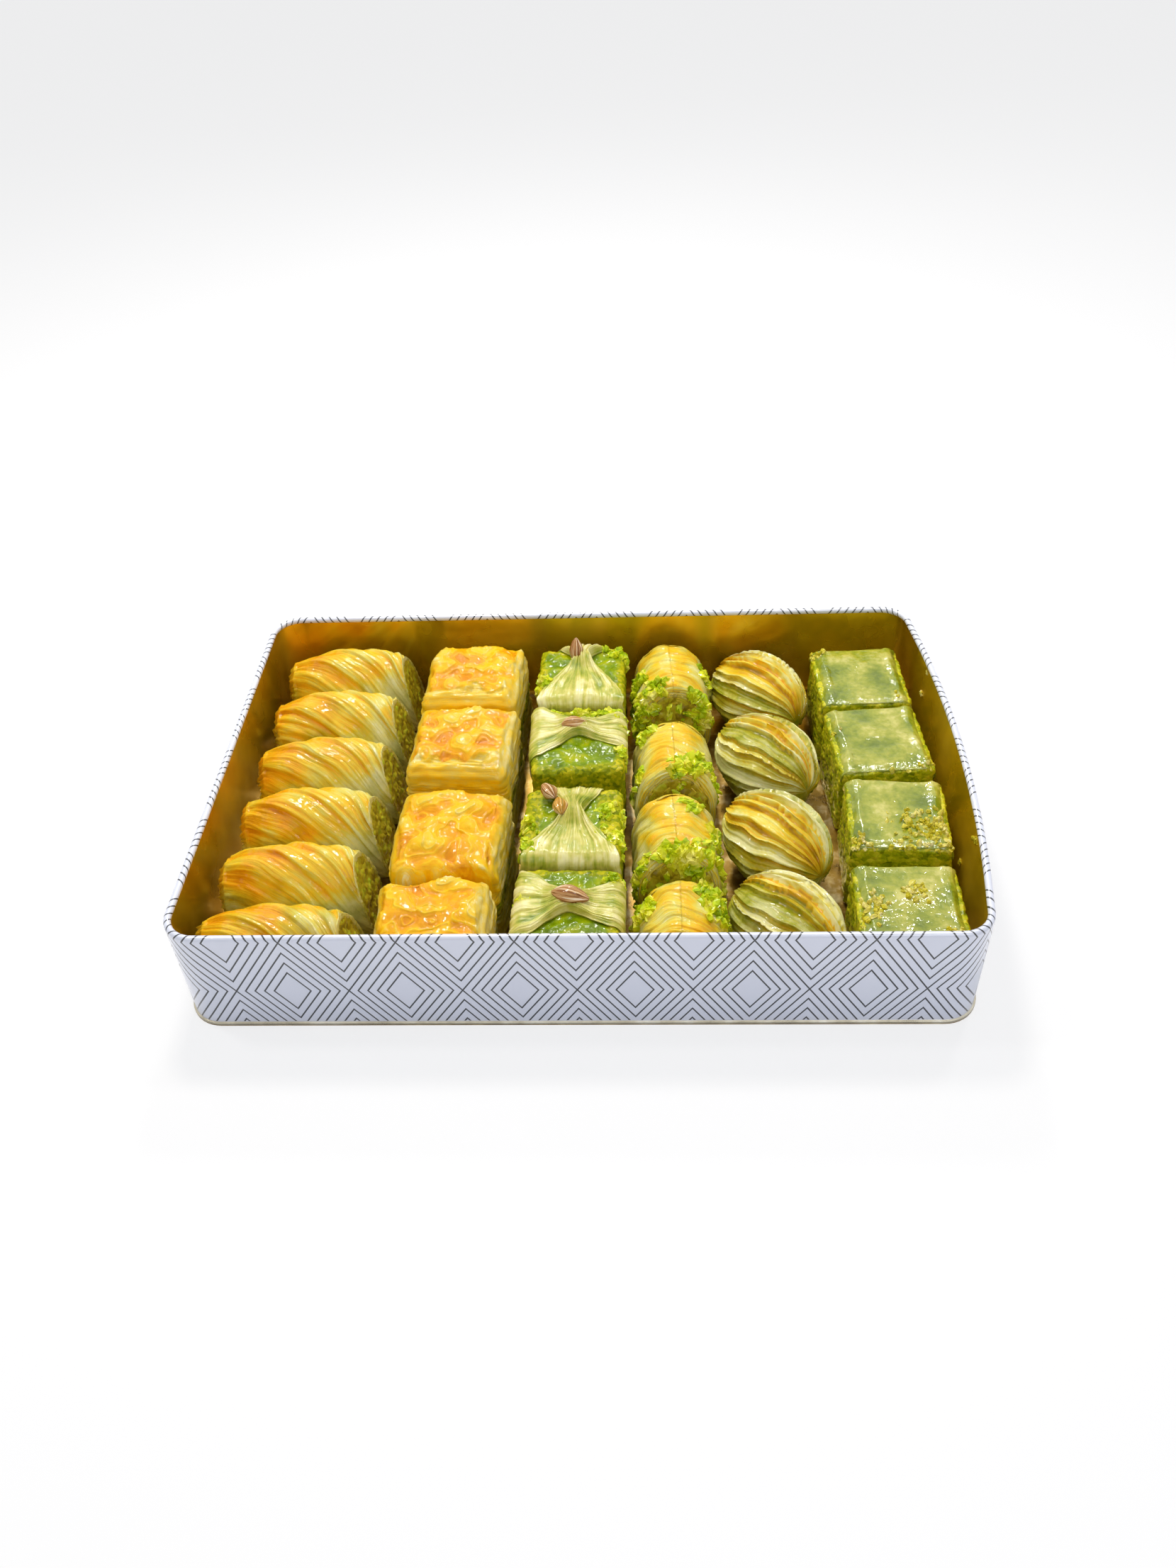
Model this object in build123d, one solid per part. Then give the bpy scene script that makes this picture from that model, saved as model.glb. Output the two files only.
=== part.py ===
# Open rectangular tin of assorted baklava, in millimetres.
#
# The origin is the middle of the flat base, +X runs along the tin's long side and +Y away from
# the side that faces a person who eats from it. The tin is a wall of printed tinplate, with its
# top edge rolled inward and its lower edge folded out to a bead, and a flat base panel under it.
# Six columns of sweets stand on the base: twisted rolls, layered squares, green bundles, crumbed
# rolls, pleated shells and green squares. Each sweet lifts straight out of the tin.
from build123d import *
import os
from math import asin, cos, degrees, pi, radians, sin, sqrt

# Tin
tin_height = 50.0
tinplate = 0.3
corner_radius = 13.5
rim_curl = 2.8  # outside diameter of the rolled top edge
curl_turn = 285.0  # how far the edge is rolled round, in degrees
rim_band = 4.0  # straight wall under the curl
foot_band = 3.0  # straight wall above the base
right_wall_bow = 6.5  # how far the long right wall is pushed out at the rim
bead_top = 1.7  # height of the folded lower edge
bead_reach = 0.7  # how far it stands out of the wall
bead_rounding = 0.35

# Clearances between the walls and the sweets, and under the sweets
left_gap = 6.2
right_gap = 5.7
front_gap = 4.0
back_gap = 4.0
seat_clearance = 0.2

# Free width between neighbouring columns, from left to right
column_gaps = (8.0, 5.7, 3.8, 2.0, 1.9)

# Each column's sweets, from back to front. Hand-cut sweets differ and lie a little askew, so
# each has its depth along Y, the free depth behind it, its shift along X and its turn.
rolls = (
    (31.6, 0.0, 0.0, 0.0),
    (31.6, 1.8, 0.0, 0.0),
    (31.6, 1.8, 0.0, 0.0),
    (31.6, 1.8, 0.0, 0.0),
    (31.6, 1.8, -0.8, 0.0),
    (31.6, 1.8, -1.5, 0.0),
)
layered_squares = (
    (46.0, 8.3, 0.0, -3.0),
    (47.3, 2.0, -0.5, -4.0),
    (49.0, 8.5, 0.0, -3.0),
    (35.0, 2.5, -2.0, 2.0),
)
bundles = (
    (43.0, 7.3, 0.5, 0.0),
    (45.0, 4.0, 0.5, 1.0),
    (44.5, 8.0, 0.0, -1.0),
    (43.0, 2.5, 0.0, -1.5),
)
crumbed_rolls = (
    (43.0, 4.3, 0.0, 3.0),
    (42.0, 16.0, 0.0, 2.0),
    (43.0, 6.0, -0.5, 3.0),
    (36.5, 7.0, 0.5, 0.0),
)
shells = (
    (46.5, 1.4, 0.0, 0.0),
    (47.0, 0.9, 0.0, 0.0),
    (47.0, 4.5, 0.3, 0.0),
    (46.5, 1.3, 0.3, 0.0),
)
green_squares = (
    (41.0, 11.3, 0.5, 2.0),
    (42.0, 4.0, 2.6, 4.0),
    (40.0, 6.5, 3.4, -3.0),
    (41.0, 10.0, 0.5, -1.0),
)

# Twisted rolls: length along X
roll_length = 62.5
roll_height = 42.0
roll_foot_inset = 4.8  # how far the underside is drawn in on each side
roll_shoulder = 17.0  # height of the widest place
roll_tail_inset = 5.0  # how far each side is drawn in at the left end
roll_tail_drop = 9.0
roll_tail_taper = 33.0  # how far in the drawn end reaches
roll_cut_inset = 2.6  # how far each side is drawn in at the cut right end
roll_cut_drop = 4.5
roll_wall = 4.2  # pastry beside the filling at the cut end
roll_crown = 9.0  # pastry over the filling there
roll_sole = 5.0  # pastry under the filling
roll_stop = 19.0  # pastry between the left end and the filling
roll_core_corner = 6.5
core_proud = 0.8  # how far the filling stands out of a cut end

# Laps of a twisted roll: the overlapping edges of its wrung filo, which run down its front.
# Along the roll each lap moves down by lap_lean * x + lap_bend * x * x, x from the left end.
lap_count = 8  # laps all the way round
lap_pitch = 14.0
lap_height = 1.4
lap_lean = 0.15
lap_bend = 0.009
lap_end = 5.0  # the laps fade out this far from the left end
lap_start = 0.35  # how far the laps of one roll are turned against the next one's, in laps
# Where a lap's skin is, as a share of its width, and how deep it lies there
lap_profile = ((0.0, 1.0), (0.3, 0.6), (0.6, 0.2), (0.85, 0.0))
roll_sections = 20

# Layered squares
layered_width = 45.5
layered_height = 44.0
layered_lower = 14.0  # thickness of the lower leaves
layered_nuts = 6.0  # thickness of the nut layer
layered_nuts_inset = 0.5
layered_corner = 4.0
layered_dome = 8.0  # height of the rounded top edge
layered_dome_middle = 4.8  # height of the rounding's middle level
layered_dome_inset = 5.0
layered_dome_middle_inset = 1.8
leaf_pack = 3.2  # height of a pack of leaves that sticks out of the cut sides, or is drawn in
leaf_pack_inset = 0.7

# Blisters on a layered square's top leaf, in rows that are shifted by a sine
blister_rows = 3
blister_pitch = 10.0
blister_shift = 1.4
blister_radius = 6.0
blister_height = 1.3
blister_root = 0.8  # how far a blister's body goes into the leaves

# Green bundles: a block of pistachio paste with a sheet gathered over it
bundle_width = 42.5
bundle_height = 37.5
bundle_corner = 5.0
bundle_edge = 4.0  # rounding of the top edge
sheet_thickness = 1.2
sheet_waist = 13.0  # width of the gathered sheet where it is tied
sheet_foot = 36.0  # width of the sheet's spread end
sheet_tail = 24.0  # width of its other end

# How each bundle's sheet lies: the way its spread end points, how far its waist is from the
# middle along that way, and how far behind the middle the whole sheet lies
bundle_sheets = ((-90.0, -12.0, 0.0), (180.0, 0.0, 6.5), (-90.0, -6.0, 0.0), (180.0, 0.0, 1.0))

# Shelled kernels on the bundles
kernel_diameter = 7.5
kernel_tip = 0.8  # radius of the blunt tips
kernel_sink = 1.2  # flat cut where a kernel sticks to the sheet

# Each bundle's kernels: x, y, turn, tilt and length of each kernel
bundle_kernels = (
    ((-2.6, 11.5, 90.0, 60.0, 12.0),),
    ((-1.5, 6.5, 4.0, 0.0, 12.0),),
    ((-10.5, 14.5, 125.0, 0.0, 10.5), (-5.2, 5.5, 100.0, 0.0, 10.5)),
    ((1.0, 1.5, -14.0, 0.0, 15.5),),
)

# Crumbed rolls: they lie along Y
crumbed_width = 35.5
crumbed_height = 37.5
crumbed_foot_inset = 5.2
crumbed_shoulder = 15.5
crumbed_wall = 5.8  # pastry beside the filling
crumbed_crown = 10.0  # pastry over the filling
crumbed_sole = 4.5  # pastry under the filling
crumbed_core_corner = 9.0

# Pleated shells: a lemon shape that lies on a diagonal
shell_radius = 20.3
shell_foot_cut = 2.1  # how deep the round underside is cut flat
shell_tip = 3.0  # radius of the blunt front tip
shell_knuckle = 8.0  # radius of the blunt back tip
shell_turn = -52.0  # direction of its long axis, in degrees from +X
shell_wall = 8.0  # pastry round the filling's thickest place
shell_end_wall = 9.5  # pastry beyond each end of the filling
shell_core_drop = 6.7  # how far the filling's long axis is below the shell's
shell_core_tip = 3.0
shell_pleats = 20
pleat_depth = 1.5
pleat_variation = 0.45  # share by which the pleats' widths differ
pleat_edge = 0.9  # share of a pleat's width that rises towards its edge
pleat_twist = 0.55  # how far a pleat turns about the long axis, in radians
shell_sections = 13

# Green squares: paste between two sheets
square_width = 40.5
square_height = 35.5
square_corner = 3.0
square_skin = 1.4
square_skin_inset = 1.0


def shell_length(depth):
    """Length of the shell whose turned outline has this depth along Y."""
    across = shell_radius * cos(radians(shell_turn))
    return 2 * sqrt((depth / 2) ** 2 - across**2) / abs(sin(radians(shell_turn)))


def shell_span(depth):
    """What such a shell takes up along X."""
    along = shell_length(depth) / 2 * cos(radians(shell_turn))
    return 2 * sqrt(along**2 + (shell_radius * sin(radians(shell_turn))) ** 2)


# Sizes that follow from the ones above
shell_width = max(shell_span(depth) for depth, _, _, _ in shells)
floor_z = tinplate + seat_clearance
widths = (roll_length, layered_width, bundle_width, crumbed_width, shell_width, square_width)
columns = (rolls, layered_squares, bundles, crumbed_rolls, shells, green_squares)
pack_depth = max(sum(depth + behind for depth, behind, _, _ in column) for column in columns)
tin_length = left_gap + sum(widths) + sum(column_gaps) + right_gap + 2 * tinplate
tin_width = front_gap + pack_depth + back_gap + 2 * tinplate
pack_back = tin_width / 2 - tinplate - back_gap
curl_radius = rim_curl / 2
curl_z = tin_height - curl_radius
rim_band_z = curl_z - rim_band
blister_ball = (blister_radius**2 + blister_height**2) / (2 * blister_height)
blister_reach = sqrt(blister_ball**2 - (blister_ball - blister_height - blister_root) ** 2)


def column_centre(index):
    """Middle of a column of sweets, along X."""
    left = -tin_length / 2 + tinplate + left_gap + sum(widths[:index]) + sum(column_gaps[:index])
    return left + widths[index] / 2


def places(index):
    """Where a column's sweets stand, from back to front: x, y, turn and depth."""
    back = pack_back
    for depth, behind, shift, turn in columns[index]:
        back -= behind
        yield column_centre(index) + shift, back - depth / 2, turn, depth
        back -= depth


def outline(inset, bow, z):
    """The tin's plan, with rounded corners and the right wall pushed out by bow."""
    half_length = tin_length / 2 - inset
    half_width = tin_width / 2 - inset
    radius = corner_radius - inset
    cx = half_length - radius
    cy = half_width - radius
    lean = Vector(1, 0)
    if bow > 0:
        reach = (cy**2 + bow**2) / (2 * bow)
        lean = Vector((reach - bow) / reach, cy / reach)
    far = Vector(cx, cy) + lean * radius
    corner_lean = (lean + Vector(0, 1)).normalized() * radius
    near = Vector(far.X, -far.Y)
    square = radius * sqrt(0.5)
    edges = [
        Line((-cx, -half_width), (cx, -half_width)),
        ThreePointArc((cx, -half_width), (cx + corner_lean.X, -cy - corner_lean.Y), near),
        ThreePointArc(near, (half_length + bow, 0), far) if bow > 0 else Line(near, far),
        ThreePointArc(far, (cx + corner_lean.X, cy + corner_lean.Y), (cx, half_width)),
        Line((cx, half_width), (-cx, half_width)),
        ThreePointArc((-cx, half_width), (-cx - square, cy + square), (-half_length, cy)),
        Line((-half_length, cy), (-half_length, -cy)),
        ThreePointArc((-half_length, -cy), (-cx - square, -cy - square), (-cx, -half_width)),
    ]
    return Pos(0, 0, z) * Wire(edges)


def band(z_low, z_high, bow_low, bow_high):
    """A length of the wall's sheet between two heights."""
    faces = [
        [Face(outline(inset, bow_low, z_low)), Face(outline(inset, bow_high, z_high))]
        for inset in (0, tinplate)
    ]
    outer, inner = (loft(pair, ruled=True) for pair in faces)
    return outer - inner


def curl():
    """The wall's top edge, rolled inward, as a C section swept round the rim."""
    inner_radius = curl_radius - tinplate
    path = outline(curl_radius, right_wall_bow, curl_z)
    start = path.edges()[0]
    along = Plane(origin=start @ 0, x_dir=(0, -1, 0), z_dir=start % 0)
    half = radians(curl_turn / 2)
    end = radians(curl_turn)

    def on_circle(radius, angle):
        return (radius * cos(angle), -radius * sin(angle))

    rim = [
        ThreePointArc(
            on_circle(curl_radius, 0), on_circle(curl_radius, half), on_circle(curl_radius, end)
        ),
        Line(on_circle(curl_radius, end), on_circle(inner_radius, end)),
        ThreePointArc(
            on_circle(inner_radius, end), on_circle(inner_radius, half), on_circle(inner_radius, 0)
        ),
        Line(on_circle(inner_radius, 0), on_circle(curl_radius, 0)),
    ]
    return sweep(along * make_face(rim), path)


def bead():
    """The wall's lower edge, folded out over the edge of the base panel."""
    height = bead_top - tinplate
    ring = extrude(Face(outline(-bead_reach, 0, tinplate)), height)
    ring = fillet(ring.edges().group_by(Axis.Z)[-1], bead_rounding)
    return ring - extrude(Face(outline(tinplate, 0, tinplate)), height)


def tin_wall():
    """Printed wall: bead, straight foot, bowed middle, straight band and curl."""
    parts = [
        bead(),
        band(tinplate, foot_band, 0, 0),
        band(foot_band, rim_band_z, 0, right_wall_bow),
        band(rim_band_z, curl_z, right_wall_bow, right_wall_bow),
        curl(),
    ]
    return parts[0].fuse(*parts[1:])


def tin_base():
    """Flat base panel, as large as the bead."""
    return extrude(Face(outline(-bead_reach, 0, 0)), tinplate)


def block(width, depth, z_low, z_high, corner):
    """An upright block with rounded vertical edges."""
    plan = Pos(0, 0, z_low) * RectangleRounded(width, depth, corner)
    return extrude(plan, z_high - z_low)


def spindle(length, radius, start_tip, end_tip):
    """A body of revolution along X with a round belly and two blunt tips."""
    half = length / 2
    start = asin(start_tip / radius)
    end = asin(end_tip / radius)
    rise = 90 - degrees(end)
    fall = 90 - degrees(start)
    arch = make_face(
        [
            Line((half, 0), (half, end_tip)),
            EllipticalCenterArc((0, 0), half / cos(end), radius, 90 - rise, arc_size=rise),
            EllipticalCenterArc((0, 0), half / cos(start), radius, 90, arc_size=fall),
            Line((-half, start_tip), (-half, 0)),
            Line((-half, 0), (half, 0)),
        ]
    )
    return revolve(arch, Axis.X, 360)


def dome_section(depth, height, foot_inset, shoulder):
    """Upright section with a flat foot, drawn-in sides and a half-oval back."""
    half = depth / 2
    foot = half - foot_inset
    edges = [
        Line((-foot, 0), (foot, 0)),
        TangentArc((half, shoulder), (foot, 0), tangent=(0, -1)),
        EllipticalCenterArc((0, shoulder), half, height - shoulder, arc_size=180),
        TangentArc((-half, shoulder), (-foot, 0), tangent=(0, -1)),
    ]
    return make_face(edges)


def roll_section(x, depth, height, start):
    """The roll's section at one place of its length: an egg shape with the edges of its laps."""
    half = depth / 2
    shoulder = roll_shoulder * height / roll_height
    foot_share = 1 - roll_foot_inset / half
    below = shoulder / sqrt(1 - foot_share**2)
    travel = (lap_lean * x + lap_bend * x**2) / lap_pitch
    relief = lap_height * min(x / lap_end, 1) / half
    points = []
    for lap in range(lap_count):
        for share, low in lap_profile:
            angle = 2 * pi * (lap + share + travel + start) / lap_count
            rise = height - shoulder if cos(angle) > 0 else below
            scale = 1 - relief * low
            points.append((-half * sin(angle) * scale, shoulder + rise * cos(angle) * scale))
    across = Plane(origin=(x - roll_length / 2, 0, 0), x_dir=(0, 1, 0), z_dir=(1, 0, 0))
    return across * make_face(Spline(points, periodic=True))


def twisted_roll(depth, start):
    """A roll that is drawn in at its left end and cut square at its right end."""
    half = roll_length / 2
    sections = []
    for step in range(roll_sections):
        x = roll_length * step / (roll_sections - 1)
        tail = max(1 - x / roll_tail_taper, 0) ** 2
        cut = max((x - roll_tail_taper) / (roll_length - roll_tail_taper), 0) ** 2
        side_less = 2 * (roll_tail_inset * tail + roll_cut_inset * cut)
        height = roll_height - roll_tail_drop * tail - roll_cut_drop * cut
        sections.append(roll_section(x, depth - side_less, height, start))
    slices = [loft([left, right], ruled=True) for left, right in zip(sections, sections[1:])]
    body = split(slices[0].fuse(*slices[1:]), Plane.XY, keep=Keep.TOP)
    core_depth = depth - 2 * (roll_cut_inset + roll_wall)
    core_height = roll_height - roll_cut_drop - roll_crown - roll_sole
    core_plane = Plane(
        origin=(half + core_proud, 0, roll_sole + core_height / 2),
        x_dir=(0, 1, 0),
        z_dir=(-1, 0, 0),
    )
    core_plan = RectangleRounded(core_depth, core_height, roll_core_corner)
    core = extrude(core_plane * core_plan, roll_length - roll_stop + core_proud)
    return {"pastry": body - core, "filling": core}


def leaf_packs(depth, z_low, z_high):
    """Packs of leaves, by turns standing out of the cut sides and drawn in."""
    count = round((z_high - z_low) / leaf_pack)
    height = (z_high - z_low) / count
    packs = []
    for pack in range(count):
        less = 2 * leaf_pack_inset * (pack % 2)
        z = z_low + pack * height
        packs.append(block(layered_width - less, depth - less, z, z + height, layered_corner))
    return packs[0].fuse(*packs[1:])


def blister(x, y):
    """A low round swelling of the top leaf."""
    low = -blister_root
    reach = blister_reach
    middle = asin(reach / blister_ball) / 2
    rim = make_face(
        [
            Line((0, low), (reach, low)),
            ThreePointArc(
                (reach, low),
                (blister_ball * sin(middle), blister_ball * (cos(middle) - 1) + blister_height),
                (0, blister_height),
            ),
            Line((0, blister_height), (0, low)),
        ]
    )
    body = revolve(Plane.XZ * rim, Axis.Z, 360)
    return Pos(x, y, layered_height - blister_height) * body


def blisters(depth):
    """Rows of blisters over a square's top, none in line with its neighbours."""
    middle = (blister_rows - 1) / 2
    free = depth / 2 - layered_dome_inset - blister_shift - blister_reach
    pitch_y = min(free / middle, blister_pitch)
    for row in range(blister_rows):
        for place in range(blister_rows):
            count = blister_rows * row + place
            x = (place - middle) * blister_pitch + blister_shift * sin(2.4 * count)
            y = (row - middle) * pitch_y + blister_shift * sin(4.1 * count + 1)
            yield blister(x, y)


def layered_square(depth):
    """Lower leaves, a layer of nuts and upper leaves with a blistered round top."""
    upper_z = layered_lower + layered_nuts
    rim_z = layered_height - layered_dome
    lower = leaf_packs(depth, 0, layered_lower)
    upper = leaf_packs(depth, upper_z, rim_z)
    less = 2 * layered_nuts_inset
    nuts = block(layered_width - less, depth - less, layered_lower, upper_z, layered_corner)
    levels = (
        (rim_z, 0),
        (rim_z + layered_dome_middle, 2 * layered_dome_middle_inset),
        (layered_height - blister_height, 2 * layered_dome_inset),
    )
    crown = loft(
        [
            Pos(0, 0, z) * RectangleRounded(layered_width - less, depth - less, layered_corner)
            for z, less in levels
        ]
    )
    return {"leaves": [lower, upper.fuse(crown, *blisters(depth))], "filling": nuts}


def rounded_block(width, depth, height):
    """A bundle's block, with rounded vertical edges and a rounded top edge."""
    body = block(width, depth, 0, height, bundle_corner)
    return fillet(body.edges().group_by(Axis.Z)[-1], bundle_edge)


def gathered_sheet(shell, reach, turn, waist, back):
    """The part of a bundle's outer shell that the gathered sheet covers."""
    foot_side = sheet_foot / 2
    waist_side = sheet_waist / 2
    tail_side = sheet_tail / 2
    plan = make_face(
        [
            ThreePointArc((-reach, tail_side), (waist, waist_side), (reach, foot_side)),
            Line((reach, foot_side), (reach, -foot_side)),
            ThreePointArc((reach, -foot_side), (waist, -waist_side), (-reach, -tail_side)),
            Line((-reach, -tail_side), (-reach, tail_side)),
        ]
    )
    return shell & (Pos(0, back, 0) * Rot(0, 0, turn) * extrude(plan, bundle_height + 1))


def kernel(x, y, turn, tilt, length):
    """A shelled pistachio on a bundle, flat where it sticks to the sheet."""
    body = spindle(length, kernel_diameter / 2, kernel_tip, kernel_tip)
    rise = max(kernel_diameter / 2, length / 2 * sin(radians(tilt))) - kernel_sink
    body = split(Pos(0, 0, rise) * Rot(0, -tilt, 0) * body, Plane.XY, keep=Keep.TOP)
    return Pos(x, y, bundle_height) * Rot(0, 0, turn) * body


def green_bundle(depth, sheet, kernels):
    """Paste under a sheet that is gathered to a waist, with kernels on the waist."""
    less = 2 * sheet_thickness
    inner = rounded_block(bundle_width - less, depth - less, bundle_height - sheet_thickness)
    shell = rounded_block(bundle_width, depth, bundle_height) - inner
    return {
        "paste": inner,
        "wrap": gathered_sheet(shell, max(bundle_width, depth) / 2, *sheet),
        "kernels": [kernel(*spot) for spot in kernels],
    }


def crumbed_roll(depth):
    """A short roll along Y, open at both ends on its nut filling."""
    end = Plane(origin=(0, depth / 2, 0), x_dir=(-1, 0, 0), z_dir=(0, 1, 0))
    section = dome_section(crumbed_width, crumbed_height, crumbed_foot_inset, crumbed_shoulder)
    body = extrude(end * section, -depth)
    core_width = crumbed_width - 2 * crumbed_wall
    core_height = crumbed_height - crumbed_crown - crumbed_sole
    core_plane = end.offset(core_proud) * Pos(0, crumbed_sole + core_height / 2)
    core_plan = RectangleRounded(core_width, core_height, crumbed_core_corner)
    core = extrude(core_plane * core_plan, -(depth + 2 * core_proud))
    return {"pastry": body - core, "filling": core}


def on_the_floor(body, middle_z):
    """A body along X laid on a shell's diagonal and cut flat at the floor."""
    return Rot(0, 0, shell_turn) * split(Pos(0, 0, middle_z) * body, Plane.XY, keep=Keep.TOP)


def pleat_lines():
    """Each pleat's valley, slope and edge: the angle round the axis and the share of its depth."""
    widths = [1 + pleat_variation * sin(2.4 * count) for count in range(shell_pleats)]
    angle = 0
    for width in widths:
        span = 2 * pi * width / sum(widths)
        for share in (0, pleat_edge / 2, pleat_edge):
            yield angle + span * share, 1 - (share / pleat_edge) ** 1.4
        angle += span


def pleated_spindle(length):
    """A lemon shape along X whose skin lies in pleats from one blunt tip to the other."""
    half = length / 2
    knuckle = asin(shell_knuckle / shell_radius)
    tip = asin(shell_tip / shell_radius)
    sections = []
    for step in range(shell_sections):
        lean = (knuckle - pi / 2) + (pi - knuckle - tip) * step / (shell_sections - 1)
        x = half * sin(lean) / (cos(knuckle) if lean < 0 else cos(tip))
        radius = shell_radius * cos(lean)
        depth = pleat_depth * cos(lean)
        turn = pleat_twist * x / length
        points = [
            ((radius - depth * low) * cos(angle - turn), (radius - depth * low) * sin(angle - turn))
            for angle, low in pleat_lines()
        ]
        across = Plane(origin=(x, 0, 0), x_dir=(0, 1, 0), z_dir=(1, 0, 0))
        sections.append(across * make_face(Spline(points, periodic=True)))
    return loft(sections, ruled=True)


def pleated_shell(depth):
    """A pleated pastry with its filling inside, open underneath."""
    length = shell_length(depth)
    middle_z = shell_radius - shell_foot_cut
    outer = on_the_floor(pleated_spindle(length), middle_z)
    core_length = length - 2 * shell_end_wall
    core = spindle(core_length, shell_radius - shell_wall, shell_core_tip, shell_core_tip)
    core = on_the_floor(core, middle_z - shell_core_drop)
    return {"pastry": outer - core, "filling": core}


def green_square(depth):
    """A block of paste between two thin sheets."""
    top_z = square_height - square_skin
    skin_width = square_width - 2 * square_skin_inset
    skin_depth = depth - 2 * square_skin_inset
    paste = block(square_width, depth, square_skin, top_z, square_corner)
    under = block(skin_width, skin_depth, 0, square_skin, square_corner)
    over = block(skin_width, skin_depth, top_z, square_height, square_corner)
    return {"paste": paste, "skins": [under, over]}


def set_down(pieces, x, y, turn):
    """A sweet's pieces, stood on the tin's base at one place."""
    place = Pos(x, y, floor_z) * Rot(0, 0, turn)
    placed = {}
    for name, shape in pieces.items():
        solids = shape if isinstance(shape, list) else [shape]
        placed[name] = [place * solid for solid in solids]
    return placed


def all_sweets():
    """Every sweet as (name, pieces), column by column and from back to front."""
    kinds = (
        ("roll", lambda row, depth: twisted_roll(depth, lap_start * row)),
        ("layered", lambda row, depth: layered_square(depth)),
        ("bundle", lambda row, depth: green_bundle(depth, bundle_sheets[row], bundle_kernels[row])),
        ("crumbed", lambda row, depth: crumbed_roll(depth)),
        ("shell", lambda row, depth: pleated_shell(depth)),
        ("square", lambda row, depth: green_square(depth)),
    )
    for index, (kind, make) in enumerate(kinds):
        for row, (x, y, turn, depth) in enumerate(places(index)):
            yield f"{kind}_{row + 1}", set_down(make(row, depth), x, y, turn)


os.makedirs("parts", exist_ok=True)
export_step(tin_wall(), "parts/tin_wall.step")
export_step(tin_base(), "parts/tin_base.step")
for sweet, pieces in all_sweets():
    for piece, solids in pieces.items():
        export_step(Compound(children=solids), f"parts/{sweet}_{piece}.step")
print(f"tin {tin_length:.1f} x {tin_width:.1f} x {tin_height:.1f} mm")
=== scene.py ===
# %% [markdown]
# # A tin of assorted baklava
#
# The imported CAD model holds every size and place. This notebook gives it its looks: printed
# tinplate outside, gold lacquer inside, and twenty-six sweets, each built as a fine mesh whose
# pleats, leaves and grains come from a few rules and repeatable noise.
# All lengths are written in millimetres, and one factor turns them into Blender's metres.

import itertools
from math import asin, cos, pi, radians, sin, sqrt

import bpy
import numpy as np
from mathutils import Matrix, Vector


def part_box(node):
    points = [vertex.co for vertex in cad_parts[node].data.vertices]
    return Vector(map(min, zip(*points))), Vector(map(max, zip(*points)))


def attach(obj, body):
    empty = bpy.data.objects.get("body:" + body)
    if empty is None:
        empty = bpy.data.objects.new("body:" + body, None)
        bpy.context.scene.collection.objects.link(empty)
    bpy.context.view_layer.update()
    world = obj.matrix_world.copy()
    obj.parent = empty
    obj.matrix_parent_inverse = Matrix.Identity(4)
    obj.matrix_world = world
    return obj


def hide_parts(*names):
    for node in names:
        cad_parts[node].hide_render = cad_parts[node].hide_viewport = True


MM = 0.001
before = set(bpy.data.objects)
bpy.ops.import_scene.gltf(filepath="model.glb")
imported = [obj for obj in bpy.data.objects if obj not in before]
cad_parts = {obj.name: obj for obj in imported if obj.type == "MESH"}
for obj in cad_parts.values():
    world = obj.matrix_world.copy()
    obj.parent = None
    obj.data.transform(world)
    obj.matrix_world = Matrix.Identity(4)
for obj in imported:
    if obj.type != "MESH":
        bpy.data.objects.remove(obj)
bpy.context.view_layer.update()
scene = bpy.context.scene

# %% [markdown]
# ## Colour and node helpers
#
# Colours are picked from a screen, so they are sRGB codes. Shaders work in linear light, and one
# function turns the first into the second. One more adds a node with its settings and links, and
# one links finished nodes to a shader.


# %% Colours and nodes
def linear(code):
    """An sRGB colour such as #E8A020 as linear red, green, blue and alpha."""
    parts = [int(code[i : i + 2], 16) / 255 for i in (1, 3, 5)]
    return tuple(p / 12.92 if p <= 0.04045 else ((p + 0.055) / 1.055) ** 2.4 for p in parts) + (1,)


def add(tree, kind, inputs=None, stops=None, **settings):
    """Adds a node: its settings, its inputs as values, nodes or sockets, and a ramp's stops."""
    node = tree.nodes.new("ShaderNode" + kind if hasattr(bpy.types, "ShaderNode" + kind) else kind)
    for key, value in settings.items():
        setattr(node, key, value)
    for socket, value in (inputs or {}).items():
        value = value.outputs[0] if isinstance(value, bpy.types.Node) else value
        if isinstance(value, bpy.types.NodeSocket):
            tree.links.new(value, node.inputs[socket])
        else:
            node.inputs[socket].default_value = value
    for index, (place, code) in enumerate(stops or ()):
        ramp = node.color_ramp.elements
        stop = ramp[index] if index < 2 else ramp.new(place)
        stop.position = place
        stop.color = linear(code)
    return node


def wire(node, **sources):
    """Links other nodes, or their sockets, to a node's inputs."""
    for key, source in sources.items():
        socket = source.outputs[0] if isinstance(source, bpy.types.Node) else source
        node.id_data.links.new(socket, node.inputs[key.replace("_", " ")])


def new_material(name, **values):
    """A material with one Principled shader whose constants are set on its own sockets."""
    made = bpy.data.materials.new(name)
    made.use_nodes = True
    tree = made.node_tree
    tree.nodes.clear()
    shader = add(tree, "BsdfPrincipled")
    for key, value in values.items():
        shader.inputs[key.replace("_", " ")].default_value = value
    add(tree, "OutputMaterial", {"Surface": shader})
    return made, tree, shader


print("colour check", linear("#808080"))

# %% [markdown]
# ## Repeatable noise
#
# Food has no straight lines. Two kinds of noise shape it: smooth noise for folds and waves, and
# scattered grains for chopped nuts. Both come from fixed tables, so each run gives the same tin.

# %% Noise on points
table_rng = np.random.default_rng(11)
shuffle = table_rng.permutation(512)
slopes = table_rng.normal(size=(512, 3))
slopes /= np.linalg.norm(slopes, axis=1)[:, None]
spots = table_rng.random((512, 3))


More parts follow.
